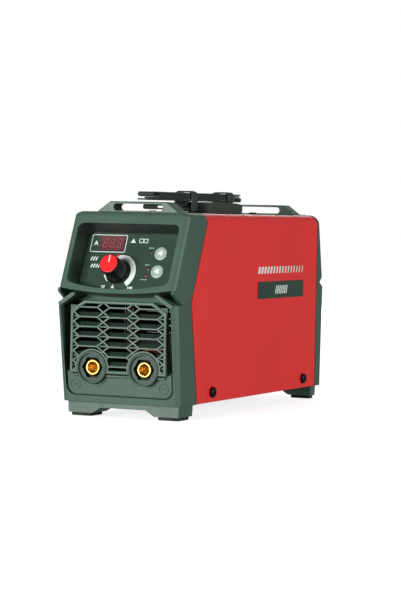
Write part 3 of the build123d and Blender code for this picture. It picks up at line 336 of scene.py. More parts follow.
def brushed(name, base, roughness, along=(1, 30, 30), grain=90, metallic=1.0, edge=0.2):
    """Metal with fine lines in one direction."""
    finish = Finish(name, metallic=metallic)
    if edge:
        finish.soft_edges(edge)
    lines = finish.noise(grain, 4, 0.7, finish.stretched(along))
    finish.colour(finish.blend(lines, scaled(base, 0.8), scaled(base, 1.1)))
    finish.roughness(finish.ramp(lines, 0.3, 0.7, roughness - 0.08, roughness + 0.12))
    finish.bump(lines, 0.012)
    return finish.material


def pan_steel():
    """Galvanised sheet: spangle cells over a dull zinc tone."""
    finish = Finish("pan_steel", metallic=0.9)
    finish.soft_edges(0.2)
    spangle = finish.cells(120)
    base = srgb(168, 172, 174)
    finish.colour(finish.blend(spangle, scaled(base, 0.75), scaled(base, 1.1)))
    finish.patchy_roughness(300, 0.35, 0.55)
    finish.bump(spangle, 0.02, 0.4)
    return finish.material


def plated(name, base, roughness):
    """Plated or blackened screw steel, worn a little where the driver bites."""
    finish = Finish(name, metallic=0.85)
    finish.soft_edges(0.15)
    worn = finish.ramp(finish.noise(700, 4, 0.7), 0.52, 0.72)
    finish.colour(finish.blend(worn, base, scaled(base, 1.9)))
    finish.roughness(finish.ramp(worn, 0, 1, roughness, roughness + 0.15))
    finish.bump(finish.noise(1500), 0.01)
    return finish.material


def rubbery(name, base, roughness=0.7):
    finish = Finish(name, specular=0.4)
    finish.soft_edges(0.4)
    bloom = finish.ramp(finish.noise(80, 5, 0.65), 0.35, 0.75, 0.0, 0.35)
    finish.colour(finish.blend(bloom, base, scaled(base, 1.9)))
    finish.patchy_roughness(250, roughness - 0.1, roughness + 0.1)
    finish.bump(finish.noise(1200, 3, 0.6), 0.03)
    return finish.material


def overlay_film():
    """Printed polyester film with a fine matt emboss."""
    finish = Finish("overlay_film", specular=0.3)
    base = srgb(44, 66, 55)
    cloud = finish.ramp(finish.noise(30, 3, 0.5), 0.3, 0.7)
    finish.colour(finish.blend(cloud, scaled(base, 0.96), scaled(base, 1.05)))
    finish.patchy_roughness(200, 0.34, 0.44)
    finish.bump(finish.cells(3200), 0.012)
    return finish.material


def red_window():
    """Dark red filter over the digits, with faint moulding swirls."""
    finish = Finish("red_window", specular=0.4, coat=0.25)
    finish.set("Coat Roughness", 0.12)
    base = srgb(104, 50, 56)
    cloud = finish.ramp(finish.noise(120, 3, 0.6), 0.3, 0.7)
    finish.colour(finish.blend(cloud, scaled(base, 0.85), scaled(base, 1.1)))
    finish.patchy_roughness(400, 0.14, 0.24)
    finish.bump(finish.noise(60, 2, 0.5), 0.02, 0.3)
    return finish.material


def circuit_board():
    """Green solder mask with tracks showing through as slightly raised lines."""
    finish = Finish("circuit_board", coat=0.4)
    finish.set("Coat Roughness", 0.2)
    wave = finish.node(
        "ShaderNodeTexWave",
        {"Vector": finish.place, "Scale": 160, "Distortion": 2.0, "Detail": 1.0},
        bands_direction="DIAGONAL",
    ).outputs["Fac"]
    tracks = finish.ramp(wave, 0.45, 0.55)
    finish.colour(finish.blend(tracks, srgb(18, 62, 38), srgb(34, 92, 56)))
    finish.patchy_roughness(300, 0.3, 0.45)
    finish.bump(tracks, 0.03)
    return finish.material


def knob_red():
    finish = Finish("knob_red", coat=0.2)
    finish.set("Coat Roughness", 0.25)
    finish.soft_edges(0.25)
    base = srgb(232, 18, 26)
    cloud = finish.ramp(finish.noise(150, 3, 0.6), 0.3, 0.7)
    finish.colour(finish.blend(cloud, scaled(base, 0.92), scaled(base, 1.04)))
    finish.patchy_roughness(300, 0.34, 0.46)
    finish.bump(finish.noise(2600, 2, 0.5), 0.012)
    return finish.material


def button_silver():
    """Moulded pale grey key with a pearly fleck."""
    finish = Finish("button_silver", metallic=0.15, coat=0.2)
    finish.set("Coat Roughness", 0.3)
    finish.soft_edges(0.3)
    base = srgb(176, 196, 184)
    fleck = finish.ramp(finish.noise(1600, 3, 0.6), 0.4, 0.7)
    finish.colour(finish.blend(fleck, scaled(base, 0.88), scaled(base, 1.12)))
    finish.patchy_roughness(400, 0.36, 0.5)
    finish.bump(finish.noise(2200, 2, 0.5), 0.012)
    return finish.material


def led_red():
    finish = Finish("led_red", coat=0.6)
    finish.set("Subsurface Weight", 0.2)
    finish.set("Subsurface Scale", 0.002)
    base = srgb(124, 52, 56)
    cloud = finish.ramp(finish.noise(600), 0.3, 0.7)
    finish.colour(finish.blend(cloud, scaled(base, 0.85), scaled(base, 1.15)))
    finish.patchy_roughness(300, 0.2, 0.35)
    finish.bump(finish.noise(900), 0.01)
    return finish.material


def brass():
    """Turned brass: rings from the lathe, a warm tarnish between them, and painted shade making the shoulder
    further into the socket black.
    """
    finish = Finish("brass", metallic=1.0)
    finish.soft_edges(0.15)
    rings = finish.noise(1400, 3, 0.6, finish.stretched((0.15, 1, 0.15)))
    stain = finish.ramp(finish.noise(220, 4, 0.7), 0.5, 0.8)
    bright = finish.blend(rings, srgb(214, 168, 84), srgb(238, 200, 118))
    # painted shade: the shoulder outside the nose and further into the socket is black
    parts = finish.axes()
    reach = [
        finish.math("SUBTRACT", finish.math("ABSOLUTE", parts["X"]), socket_centre.x),
        finish.math("SUBTRACT", parts["Z"], socket_centre.z),
    ]
    squares = [finish.math("MULTIPLY", way, way) for way in reach]
    rim = finish.math("GREATER_THAN", finish.math("ADD", *squares), BRASS_NOSE_R ** 2)
    behind = finish.math("GREATER_THAN", parts["Y"], socket_low.y + BRASS_SHADE)
    metal = finish.blend(stain, bright, srgb(182, 132, 58))
    finish.colour(finish.blend(finish.math("MULTIPLY", rim, behind), metal, PAINTED_SHADE))
    finish.roughness(finish.ramp(rings, 0.3, 0.7, 0.3, 0.42))
    finish.bump(rings, 0.004)
    return finish.material


def winding_copper():
    """Enamelled wire laid side by side."""
    finish = Finish("winding_copper", metallic=0.8, coat=0.5)
    wave = finish.node(
        "ShaderNodeTexWave", {"Vector": finish.place, "Scale": 190, "Distortion": 0.4},
        bands_direction="Z",
    ).outputs["Fac"]
    # painted shade between the wires and painted highlight on their crowns
    finish.colour(finish.blend(wave, srgb(92, 38, 18), srgb(204, 106, 58)))
    finish.patchy_roughness(300, 0.3, 0.45)
    finish.bump(wave, 0.4)
    return finish.material


def ferrite():
    return plain_moulded("ferrite", srgb(46, 46, 48), roughness=0.6, grain=900, depth=0.06, dust=0.12)


def webbing(name, base, across_per_mm=1.25, along_per_mm=0.85):
    """Woven tape: ribs across, a twill shift from row to row, fibres that catch the light."""
    finish = Finish(name, specular=0.35, sheen=0.35)
    finish.set("Sheen Roughness", 0.4)
    finish.set("Sheen Tint", srgb(120, 128, 124))
    weave = finish.node("ShaderNodeAttribute", attribute_name="weave").outputs["Vector"]
    parts = finish.axes(weave)
    turn = 2 * math.pi
    across = finish.math("MULTIPLY", parts["X"], across_per_mm * turn)
    along = finish.math("MULTIPLY", parts["Y"], along_per_mm * turn)
    shift = finish.math("ADD", along, across)
    warp = finish.math("MULTIPLY", finish.math("ADD", finish.math("SINE", across), 1.0), 0.5)
    weft = finish.math("MULTIPLY", finish.math("ADD", finish.math("SINE", shift), 1.0), 0.5)
    height = finish.math("MULTIPLY", finish.math("ADD", warp, weft), 0.5)
    fibres = finish.noise(2200, 2, 0.6)
    # painted shade in the hollows of the weave and painted highlight on its ridges
    tone = finish.blend(height, scaled(base, 0.45), scaled(base, 1.35))
    finish.colour(finish.blend(finish.ramp(fibres, 0.45, 0.8, 0.0, 0.3), tone, scaled(base, 2.4)))
    finish.roughness(finish.ramp(fibres, 0.3, 0.7, 0.55, 0.8))
    finish.bump(height, 0.22)
    finish.bump(fibres, 0.05)
    return finish.material


def pad_fabric():
    """Coarse plain weave over foam."""
    finish = Finish("pad_fabric", specular=0.3, sheen=0.4)
    finish.set("Sheen Roughness", 0.45)
    finish.set("Sheen Tint", srgb(110, 120, 114))
    parts = finish.axes()
    threads_per_metre = 2 * math.pi * 900
    waves = [
        finish.math("SINE", finish.math("MULTIPLY", parts[axis], threads_per_metre))
        for axis in ("X", "Y", "Z")
    ]
    crossings = [finish.math("MULTIPLY", *pair) for pair in (waves[:2], waves[1:])]
    height = finish.ramp(finish.math("ADD", *crossings), -1.2, 1.2)
    base = srgb(50, 62, 54)
    # painted shade in the hollows of the weave and painted highlight on its crowns
    tone = finish.blend(height, scaled(base, 0.5), scaled(base, 1.4))
    lint = finish.ramp(finish.noise(900, 3, 0.7), 0.6, 0.8, 0.0, 0.25)
    finish.colour(finish.blend(lint, tone, srgb(120, 128, 122)))
    finish.patchy_roughness(400, 0.65, 0.85)
    finish.bump(height, 0.15)
    finish.bump(finish.noise(160, 3, 0.6), 0.3, 0.5)
    return finish.material


def printed(name, base, roughness=0.45):
    """Screen-printed ink: slightly uneven cover with a fine mesh edge."""
    finish = Finish(name)
    patchy = finish.ramp(finish.noise(900, 3, 0.6), 0.35, 0.75)
    finish.colour(finish.blend(patchy, base, scaled(base, 0.86)))
    finish.patchy_roughness(500, roughness - 0.06, roughness + 0.08)
    finish.bump(finish.noise(3000, 2, 0.5), 0.01)
    return finish.material


SLOT_FINISHES = {
    "bezel_plastic": bezel_plastic,
    "cover_paint": cover_paint,
    "pan_steel": pan_steel,
    "black_screws": lambda: plated("black_screws", srgb(34, 38, 32), 0.34),
    "zinc_screws": lambda: plated("zinc_screws", srgb(150, 152, 156), 0.3),
    "rubber": lambda: rubbery("rubber", srgb(20, 24, 22)),
    "overlay_film": overlay_film,
    "red_window": red_window,
    "display_black": lambda: plain_moulded("display_black", srgb(22, 20, 20), 0.4, edge=0),
    "circuit_board": circuit_board,
    "component_black": lambda: plain_moulded("component_black", srgb(26, 26, 28), 0.45, edge=0.2),
    "shaft_aluminium": lambda: brushed("shaft_aluminium", srgb(190, 192, 194), 0.3),
    "knob_black": lambda: plain_moulded(
        "knob_black", srgb(9, 11, 10), 0.42, edge=0.2, grain=2200, depth=0.015, dust=0.03
    ),
    "knob_red": knob_red,
    "button_silver": button_silver,
    "led_red": led_red,
    "socket_plastic": socket_plastic,
    "brass": brass,
    "copper_bar": lambda: brushed("copper_bar", srgb(198, 118, 80), 0.32),
    "aluminium": lambda: brushed("aluminium", srgb(196, 200, 204), 0.36, along=(30, 1, 30)),
    "ferrite": ferrite,
    "winding_copper": winding_copper,
    "lead_insulation": lambda: plain_moulded("lead_insulation", srgb(44, 12, 13), 0.35, edge=0, depth=0.01),
    "fan_plastic": lambda: plain_moulded("fan_plastic", srgb(20, 21, 22), 0.4, edge=0.3),
    "switch_black": lambda: plain_moulded("switch_black", srgb(20, 21, 22), 0.36, edge=0.3, depth=0.01),
    "rocker_red": lambda: plain_moulded(
        "rocker_red", srgb(196, 20, 24), 0.3, edge=0.3, depth=0.008, dust=0.02
    ),
    "gland_nylon": lambda: plain_moulded("gland_nylon", srgb(24, 26, 26), 0.44, edge=0.3, depth=0.02),
    "seal_rubber": lambda: rubbery("seal_rubber", srgb(22, 22, 24)),
    "strap_webbing": lambda: webbing("strap_webbing", srgb(46, 57, 50)),
    "strap_rubber": lambda: rubbery("strap_rubber", srgb(44, 56, 49), 0.5),
    "pad_fabric": pad_fabric,
}
finishes = {slot: make() for slot, make in SLOT_FINISHES.items()}
inks = {
    "white": printed("ink_white", srgb(226, 240, 230)),
    "grey": printed("ink_grey", srgb(150, 170, 158)),
    "red": printed("ink_red", srgb(220, 20, 28)),
    "digit": printed("ink_digit", srgb(134, 80, 86), 0.3),
    "key_light": printed("ink_key_light", srgb(238, 244, 238)),
    "key_dark": printed("ink_key_dark", srgb(96, 122, 108)),
}
slot_of = {part["node"]: part["material_slot"] for part in frame["record"]["subparts"]}
for name, thing in frame["nodes"].items():
    thing.data.materials.clear()
    thing.data.materials.append(finishes[slot_of[name]])


# ---------------------------------------------------------------- mesh helpers
def shown(name, mesh, material, body):
    piece = bpy.data.objects.new(name, mesh)
    collection.objects.link(piece)
    mesh.materials.append(material)
    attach(piece, body)
    return piece


def mesh_from(name, points, faces, smooth=False):
    mesh = bpy.data.meshes.new(name)
    mesh.from_pydata([tuple(p) for p in points], [], faces)
    mesh.update()
    if smooth:
        mesh.shade_smooth()
    return mesh


def face_outwards(mesh):
    shell = bmesh.new()
    shell.from_mesh(mesh)
    bmesh.ops.recalc_face_normals(shell, faces=shell.faces)
    shell.to_mesh(mesh)
    shell.free()
    return mesh


def between(near, far, count):
    """Faces that join two closed rings of points, given the first index of each."""
    faces = []
    for i in range(count):
        j = (i + 1) % count
        faces.append((near + i, near + j, far + j, far + i))
    return faces


def panel_point(x, s, lift):
    """A point on the control panel: millimetres across and up from the knob axis, metres of lift."""
    return KNOB_AT + ACROSS * (x * MM) + PANEL_UP * (s * MM) + PANEL_OUT * lift


def side_point(y, z, lift):
    """A point on the right side of the cover: metres along and up, metres of lift."""
    return Vector((cover_high.x + lift, y, z))


def slab(name, outline, place, lift, thickness=INK * MM):
    """Thin plate over a flat outline, with its top edge eased inwards."""
    eased_height = 0.25  # share of the thickness
    eased_width, most_eased = 0.05, 0.2  # millimetres, and the largest share of the way to the centre
    centre = Vector((sum(p[0] for p in outline), sum(p[1] for p in outline))) / len(outline)
    inner = []
    for x, y in outline:
        inward = centre - Vector((x, y))
        step = min(eased_width, inward.length * most_eased)
        inner.append(Vector((x, y)) + inward.normalized() * step)
    count = len(outline)
    rings = [
        [place(x, y, lift) for x, y in outline],
        [place(x, y, lift + thickness * (1 - eased_height)) for x, y in outline],
        [place(p.x, p.y, lift + thickness) for p in inner],
    ]
    points = [p for ring in rings for p in ring]
    faces = [tuple(range(2 * count, 3 * count)), tuple(reversed(range(count)))]
    for level in range(2):
        faces += between(level * count, (level + 1) * count, count)
    return mesh_from(name, points, faces)


def ribbon(name, inner, outer, place, lift, closed, thickness=INK * MM):
    """Thin raised band between two rows of points."""
    count = len(inner)
    points = []
    for height in (lift, lift + thickness):
        points += [place(x, y, height) for x, y in inner]
        points += [place(x, y, height) for x, y in outer]
    faces = []
    for i in range(count if closed else count - 1):
        j = (i + 1) % count
        bottom_in, bottom_out, top_in, top_out = i, count + i, 2 * count + i, 3 * count + i
        next_in, next_out, next_top_in, next_top_out = j, count + j, 2 * count + j, 3 * count + j
        faces.append((top_in, next_top_in, next_top_out, top_out))
        faces.append((bottom_in, bottom_out, next_out, next_in))
        faces.append((bottom_in, next_in, next_top_in, top_in))
        faces.append((bottom_out, top_out, next_top_out, next_out))
    if not closed:
        end = count - 1
        faces.append((0, 2 * count, 3 * count, count))
        faces.append((end, count + end, 3 * count + end, 2 * count + end))
    return face_outwards(mesh_from(name, points, faces))


def rounded_rectangle(centre, size, radius, steps=6):
    """Outline of a rectangle with round corners, anticlockwise."""
    x, y = centre
    half_w, half_h = size[0] / 2 - radius, size[1] / 2 - radius
    points = []
    for corner, (sx, sy) in enumerate(((1, 1), (-1, 1), (-1, -1), (1, -1))):
        for k in range(steps + 1):
            angle = math.pi / 2 * (corner + k / steps)
            over, up = radius * math.cos(angle), radius * math.sin(angle)
            points.append((x + sx * half_w + over, y + sy * half_h + up))
    return points


def circle(centre, radius, steps=40):
    x, y = centre
    angles = [2 * math.pi / steps * i for i in range(steps)]
    return [(x + radius * math.cos(angle), y + radius * math.sin(angle)) for angle in angles]


def merged(name, meshes):
    """One mesh from several."""
    shell = bmesh.new()
    for mesh in meshes:
        shell.from_mesh(mesh)
        bpy.data.meshes.remove(mesh)
    bmesh.ops.recalc_face_normals(shell, faces=shell.faces)
    whole = bpy.data.meshes.new(name)
    shell.to_mesh(whole)
    shell.free()
    return whole


# ---------------------------------------------------------------- printed marks on the panel
def ink_piece(name, meshes, ink, body="case"):
    return shown(name, merged(name, meshes), inks[ink], body)


LETTER_SIZE = 1.4  # font size over the height of a capital
BOLDER = 0.16  # added all round a letter's strokes


def print_text(name, words, centre, height, ink):
    """A number or unit letter, as thin raised ink."""
    curve = bpy.data.curves.new(name, "FONT")
    curve.body = words
    curve.size = height * MM * LETTER_SIZE
    curve.align_x, curve.align_y = "CENTER", "CENTER"
    curve.offset = BOLDER * MM
    curve.extrude = INK * MM / 2
    curve.resolution_u = 4
    loose = bpy.data.objects.new(name, curve)
    collection.objects.link(loose)
    bpy.context.view_layer.update()
    evaluated = loose.evaluated_get(bpy.context.evaluated_depsgraph_get())
    mesh = bpy.data.meshes.new_from_object(evaluated)
    bpy.data.objects.remove(loose)
    origin = panel_point(*centre, FILM_TOP + INK * MM / 2)
    turn = Matrix((ACROSS, PANEL_UP, PANEL_OUT)).transposed().to_4x4()
    mesh.transform(Matrix.Translation(origin) @ turn)
    mesh.materials.clear()
    return shown(name, mesh, inks[ink], "case")


def display_frame():
    line_width = 0.65
    outer = rounded_rectangle(DISPLAY_FRAME_AT, DISPLAY_FRAME_SIZE, 1.6)
    inner_size = tuple(side - 2 * line_width for side in DISPLAY_FRAME_SIZE)
    inner = rounded_rectangle(DISPLAY_FRAME_AT, inner_size, 1.0)
    ink_piece("display_frame", [ribbon("line", inner, outer, panel_point, FILM_TOP, True)], "white")


DIGIT_W, DIGIT_H, DIGIT_PITCH = 4.6, 8.6, 7.0
DIGIT_LEAN = math.tan(math.radians(8))
SEGMENT_W, SEGMENT_GAP = 0.95, 0.25
DIGIT_INK = 0.02


def segment(x, y, length, upright):
    """One bar of a digit: a stretched hexagon, leaning with the digit."""
    half, w = length / 2, SEGMENT_W / 2
    outline = [(-half, 0), (-half + w, -w), (half - w, -w), (half, 0), (half - w, w), (-half + w, w)]
    if upright:
        outline = [(-v, u) for u, v in outline]
    return [(x + u + (y + v) * DIGIT_LEAN, y + v) for u, v in outline]


def display_digits():
    """Three unlit digits behind the red filter, and their points."""
    w, h = DIGIT_W - SEGMENT_W, DIGIT_H - SEGMENT_W
    bars = [(0, h / 2, False), (0, 0, False), (0, -h / 2, False)]
    bars += [(side * w / 2, level * h / 4, True) for side in (-1, 1) for level in (-1, 1)]
    lengths = {False: w - SEGMENT_GAP, True: h / 2 - SEGMENT_GAP}
    plates = []
    for column in (-1, 0, 1):
        centre = (WINDOW_AT[0] + column * DIGIT_PITCH, WINDOW_AT[1])
        for x, y, upright in bars:
            shape = segment(x, y, lengths[upright], upright)
            outline = [(centre[0] + u, centre[1] + v) for u, v in shape]
            plates.append(slab("bar", outline, panel_point, WINDOW_TOP, DIGIT_INK * MM))
        dot = circle((centre[0] + DIGIT_W / 2 + 0.7, centre[1] - DIGIT_H / 2 + 0.3), 0.5, 12)
        plates.append(slab("dot", dot, panel_point, WINDOW_TOP, DIGIT_INK * MM))
    ink_piece("display_digits", plates, "digit")


def dial_scale():
    """Crescent that widens clockwise round the knob, and the red mark at its top."""
    steps, start, end = 72, math.radians(225), math.radians(-50)
    near, tip, growth = 12.4, 13.0, 4.3  # inner radius, outer radius at the thin end, and its rise
    grown_early = 1.7  # the full width comes before the end of the crescent
    inner, outer = [], []
    for i in range(steps + 1):
        share = i / steps
        angle = start + (end - start) * share
        far = tip + growth * min(1.0, share * grown_early)
        inner.append((near * math.cos(angle), near * math.sin(angle)))
        outer.append((far * math.cos(angle), far * math.sin(angle)))
    ink_piece("dial_scale", [ribbon("crescent", inner, outer, panel_point, FILM_TOP, False)], "white")
    dot = slab("dot", circle((-3.4, 15.9), 1.2, 24), panel_point, FILM_TOP + INK * MM)
    ink_piece("dial_marker", [dot], "red")


def dial_numbers():
    print_text("dial_number_low", "20", (-12.2, -14.6), 2.6, "white")
    print_text("dial_number_high", "140", (14.6, -14.9), 2.6, "white")
    print_text("dial_unit", "A", (-2.6, -14.4), 3.6, "white")
    print_text("display_unit", "A", UNIT_LETTER_AT, 4.2, "white")


def bar(centre, length, height, lean=0.0):
    x, y = centre
    u, v = length / 2, height / 2
    shift = lean * v
    return [(x - u - shift, y - v), (x + u - shift, y - v), (x + u + shift, y + v), (x - u + shift, y + v)]


STRIPE_LEAN = 0.35


def panel_pictograms():
    """Plain generic pictograms beside the display and captions beside the lamps."""
    wedge = [(6.0, 28.9), (11.4, 28.9), (8.7, 33.0)]
    plates = [slab("wedge", wedge, panel_point, FILM_TOP)]
    for side in (-1, 1):
        outer = rounded_rectangle((19.0 + side * 2.25, 31.0), (4.3, 4.2), 0.5, 3)
        inner = rounded_rectangle((19.0 + side * 2.25, 31.0), (3.1, 3.0), 0.2, 3)
        plates.append(ribbon("page", inner, outer, panel_point, FILM_TOP, True))
    ink_piece("panel_pictograms", plates, "white")
    captions = [((28.6, 24.2), 5.4), ((27.6, 7.8), 4.2), ((26.8, -6.4), 6.4)]
    plates = [slab("caption", bar(at, length, 0.9), panel_point, FILM_TOP) for at, length in captions]
    ink_piece("lamp_captions", plates, "grey")
    rows = [((-29.5, 12.6), 3), ((-28.0, 5.6), 4)]
    plates = []
    for (x, y), count in rows:
        for k in range(count):
            stripe = bar((x + 2.5 * k, y), 1.2, 3.6, STRIPE_LEAN)
            plates.append(slab("stripe", stripe, panel_point, FILM_TOP))
    ink_piece("range_stripes", plates, "white")


def button_marks():
    for body, (x, y) in BUTTON_AT.items():
        inner, outer = circle((x, y), 4.35), circle((x, y), 4.75)
        ring = ribbon("ring", inner, outer, panel_point, BUTTON_TOP, True, 0.04 * MM)
        ink_piece(body + "_ring", [ring], "key_dark", body)
        arrow = [(x - 2.9, y), (x + 1.7, y - 2.7), (x + 1.7, y + 2.7)]
        mark = slab("arrow", arrow, panel_point, BUTTON_TOP, 0.05 * MM)
        ink_piece(body + "_arrow", [mark], "key_light", body)


def knob_pointer():
    """White line let into the groove of the red cap."""
    line = rounded_rectangle((0, 4.6), (0.86, 7.5), 0.3, 4)
    sunk, thick = 0.26 * MM, 0.2 * MM
    mark = slab("line", line, panel_point, CAP_TOP - sunk, thick)
    ink_piece("knob_pointer", [mark], "white", "knob")


def badge_stripes():
    """Plain slanted stripes on the right-hand badge and on the cover above it."""
    middle_y, middle_z = (badge_low.y + badge_high.y) / 2, (badge_low.z + badge_high.z) / 2
    lift = badge_high.x - cover_high.x

    def on_badge(x, y, height):
        return side_point(middle_y + x * MM, middle_z + y * MM, height)

    stripes = [bar((4.2 * k, 0), 2.2, 8.0, STRIPE_LEAN) for k in range(-3, 4)]
    plates = [slab("stripe", stripe, on_badge, lift) for stripe in stripes]
    ink_piece("badge_stripes", plates, "white")
    stripes = [bar((-52 + 7.0 * k, 19.0), 4.6 - 0.2 * k, 6.5, STRIPE_LEAN) for k in range(16)]
    plates = [slab("stripe", stripe, on_badge, 0.0) for stripe in stripes]
    ink_piece("cover_stripes", plates, "white")


display_frame()
display_digits()
dial_scale()
dial_numbers()
panel_pictograms()
button_marks()
knob_pointer()
badge_stripes()


# ---------------------------------------------------------------- shoulder strap
FOLD_R, SLACK_R = 1.6, 6.4  # where the webbing folds back, and where it only changes level
SLACK_TURN = 1.0  # radians; a smaller turn gets the slack radius
FOLD_STEPS = 6
BAND_STEP = 1.6


def path_with_bends(corners):
    """Points along straight runs joined by smooth bends, in the plane of the strap."""
    points = [Vector(corners[0])]
    for before, corner, after in zip(corners, corners[1:], corners[2:]):
        back = (Vector(before) - Vector(corner)).normalized()
        ahead = (Vector(after) - Vector(corner)).normalized()
        turn = math.pi - back.angle(ahead)
        cut = (FOLD_R if turn > SLACK_TURN else SLACK_R) * math.tan(turn / 2)
        arc_start, arc_end = Vector(corner) + back * cut, Vector(corner) + ahead * cut
        for k in range(FOLD_STEPS + 1):
            share = k / FOLD_STEPS
            first = arc_start.lerp(Vector(corner), share)
            second = Vector(corner).lerp(arc_end, share)
            points.append(first.lerp(second, share))
    points.append(Vector(corners[-1]))
    dense = [points[0]]
    for a, b in zip(points, points[1:]):
        count = max(1, round((b - a).length / BAND_STEP))
        dense += [a.lerp(b, (k + 1) / count) for k in range(count)]
    return dense


BAND_COLUMNS = 12
SELVEDGE, SELVEDGE_FROM, SELVEDGE_TO = 0.12, 0.72, 0.97  # extra height, and its shares of the width
EDGE_FROM, EDGE_HEIGHT = 0.98, 0.45  # the outermost points are this share of the thickness
RIPPLE, RIPPLE_TURN, RIPPLE_DRIFT = 0.12, 0.21, 0.047  # height, and radians per millimetre


def woven_band(name, corners, half_width, thickness):
    """Webbing swept along the strap's plane, with thick selvedges, a soft ripple and eased edges."""
    line = path_with_bends(corners)
    profile = []
    for k in range(BAND_COLUMNS + 1):
        share = k / BAND_COLUMNS * 2 - 1
        edge = 1.0 if abs(share) < EDGE_FROM else EDGE_HEIGHT
        selvedge = SELVEDGE if SELVEDGE_FROM < abs(share) < SELVEDGE_TO else 0.0
        profile.append((share * half_width, thickness / 2 * edge + selvedge * edge))
    ring = [(x, h) for x, h in profile] + [(x, -h) for x, h in reversed(profile)]
    points, weave = [], []
    travelled = 0.0
    for i, centre in enumerate(line):
        before, after = line[max(0, i - 1)], line[min(len(line) - 1, i + 1)]
        along = (after - before).normalized()
        normal = Vector((-along.y, along.x))
        travelled += (centre - before).length if i else 0.0
        ripple = RIPPLE * math.sin(travelled * RIPPLE_TURN) * math.sin(travelled * RIPPLE_DRIFT + 1.0)
        for x, h in ring:
            sag = ripple * (1 - (x / half_width) ** 2)
            spot = centre + normal * (h + sag)
            points.append(Vector((x * MM, spot.x * MM, spot.y * MM)))
            weave.append((x, travelled, 0.0))
    size = len(ring)
    faces = [tuple(range(size)), tuple(reversed(range((len(line) - 1) * size, len(line) * size)))]
    for i in range(len(line) - 1):
        faces += between(i * size, (i + 1) * size, size)
    mesh = mesh_from(name, points, faces, smooth=True)
    attribute = mesh.attributes.new("weave", "FLOAT_VECTOR", "POINT")
    attribute.data.foreach_set("vector", [value for triple in weave for value in triple])
    return face_outwards(mesh)


def strap():
    """Folded webbing: layers through the keepers, turned back at both ends. All in millimetres."""
    front, rear = strap_low.y / MM, strap_high.y / MM
    low, high = strap_low.z / MM, strap_high.z / MM
    half_width = (strap_high.x - strap_low.x) / 2 / MM - 0.15
    thickness = 1.2
    levels = {
        "low": low + 0.75, "mid": low + 4.1, "tail": high - 7.1, "up": high - 3.9, "top": high - 0.75,
    }
    route = [
        (front + 80.5, levels["low"]), (front + 13.0, levels["low"]), (front + 13.0, levels["mid"]),
        (front + 70.5, levels["mid"]), (front + 82.5, levels["tail"]), (rear - 0.9, levels["tail"]),
        (rear - 0.9, levels["up"]), (front + 2.2, levels["up"]), (front + 2.2, levels["top"]),
        (rear - 2.0, levels["top"]),
    ]
    mesh = woven_band("strap_band", route, half_width, thickness)
    main = shown("strap_band", mesh, finishes["strap_webbing"], "case")
    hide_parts("strap_webbing")
    free_route = [(front + 0.8, levels["tail"] + 0.1), (front + 64.0, levels["tail"])]
    inner_turns = {
        "strap_free_end": free_route,
        "strap_inner_low": [(front + 15.0, levels["tail"] + 1.6), (rear - 3.0, levels["tail"] + 1.6)],
        "strap_inner_high": [(front + 17.0, levels["up"] + 1.57), (rear - 4.5, levels["up"] + 1.57)],
        "strap_tail": [(front + 66.0, levels["tail"] + 0.1), (front + 80.0, levels["tail"] + 0.1)],
    }
    for name, way in inner_turns.items():
        mesh = woven_band(name, way, half_width, thickness)
        shown(name, mesh, finishes["strap_webbing"], "case")


def pad_shape(name, low, high, inset, crown):
    """Closed padded form: flat below, crowned above, with rounded corners and drawn-in edges.

    x, y and z below are shares of its half size; a corner starts at 0.8 across and 0.93 along.
    """
    shell = bmesh.new()
    bmesh.ops.create_cube(shell, size=1.0)
    bmesh.ops.subdivide_edges(shell, edges=shell.edges, cuts=9, use_grid_fill=True)
    centre, half = (low + high) / 2, (high - low) / 2
    for vertex in shell.verts:
        x, y, z = vertex.co * 2
        corner = min(1.0, math.hypot(max(0.0, abs(x) - 0.8) / 0.2, max(0.0, abs(y) - 0.93) / 0.07))
        squeeze = 1 - inset * abs(z) ** 3
        round_x = x * (1 - 0.06 * corner * abs(y) ** 6) * squeeze
        round_y = y * (1 - 0.025 * corner * abs(x) ** 4) * (1 - inset * 0.3 * abs(z) ** 3)
        rise = 1 - crown * (abs(x) ** 3.0) - crown * 0.8 * (abs(y) ** 10)
        round_z = z * (rise if z > 0 else 1.0)
        vertex.co = centre + Vector((round_x * half.x, round_y * half.y, round_z * half.z))
    mesh = bpy.data.meshes.new(name)
    shell.to_mesh(mesh)
    shell.free()
    mesh.shade_smooth()
    return mesh


LOOP_WALL = 1.5
# along a loop from its middle, as a share of half its length, and how far its skin stands out there
LOOP_OUTSIDE = ((-1, -0.9), (-0.97, -0.35), (-0.75, -0.1), (0, 0), (0.75, -0.1), (0.97, -0.35), (1, -0.9))
LOOP_BORE = ((0.97, 0.5), (0.8, 0.0), (-0.8, 0.0), (-0.97, 0.5))


def loop_sleeve(node, ahead):
    """Thick moulded loop round the webbing, crowned along its length; ahead lengthens it to the front."""
    low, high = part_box(node)
    low.y -= ahead * MM
    centre, half = (low + high) / 2, (high - low) / 2
    rings = []
    for stations, inset, corner_r in ((LOOP_OUTSIDE, 0, 4.2), (LOOP_BORE, LOOP_WALL, 2.4)):
        for share, swell in stations:
            size = [2 * side / MM - 2 * inset + 2 * swell for side in (half.x, half.z)]
            outline = rounded_rectangle((0, 0), size, min(corner_r, size[1] / 2 - 0.5), 8)
            rings.append([(x, centre.y + share * half.y, z) for x, z in outline])
    count = len(rings[0])
    points = [Vector((x * MM, y, centre.z + z * MM)) for ring in rings for x, y, z in ring]
    faces = []
    for k in range(len(rings)):
        faces += between(k * count, (k + 1) % len(rings) * count, count)
    mesh = merged(node + "_loop", [mesh_from("loop", points, faces)])
    mesh.shade_smooth()
    loop = shown(node + "_loop", mesh, finishes["strap_rubber"], "case")
    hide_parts(node)


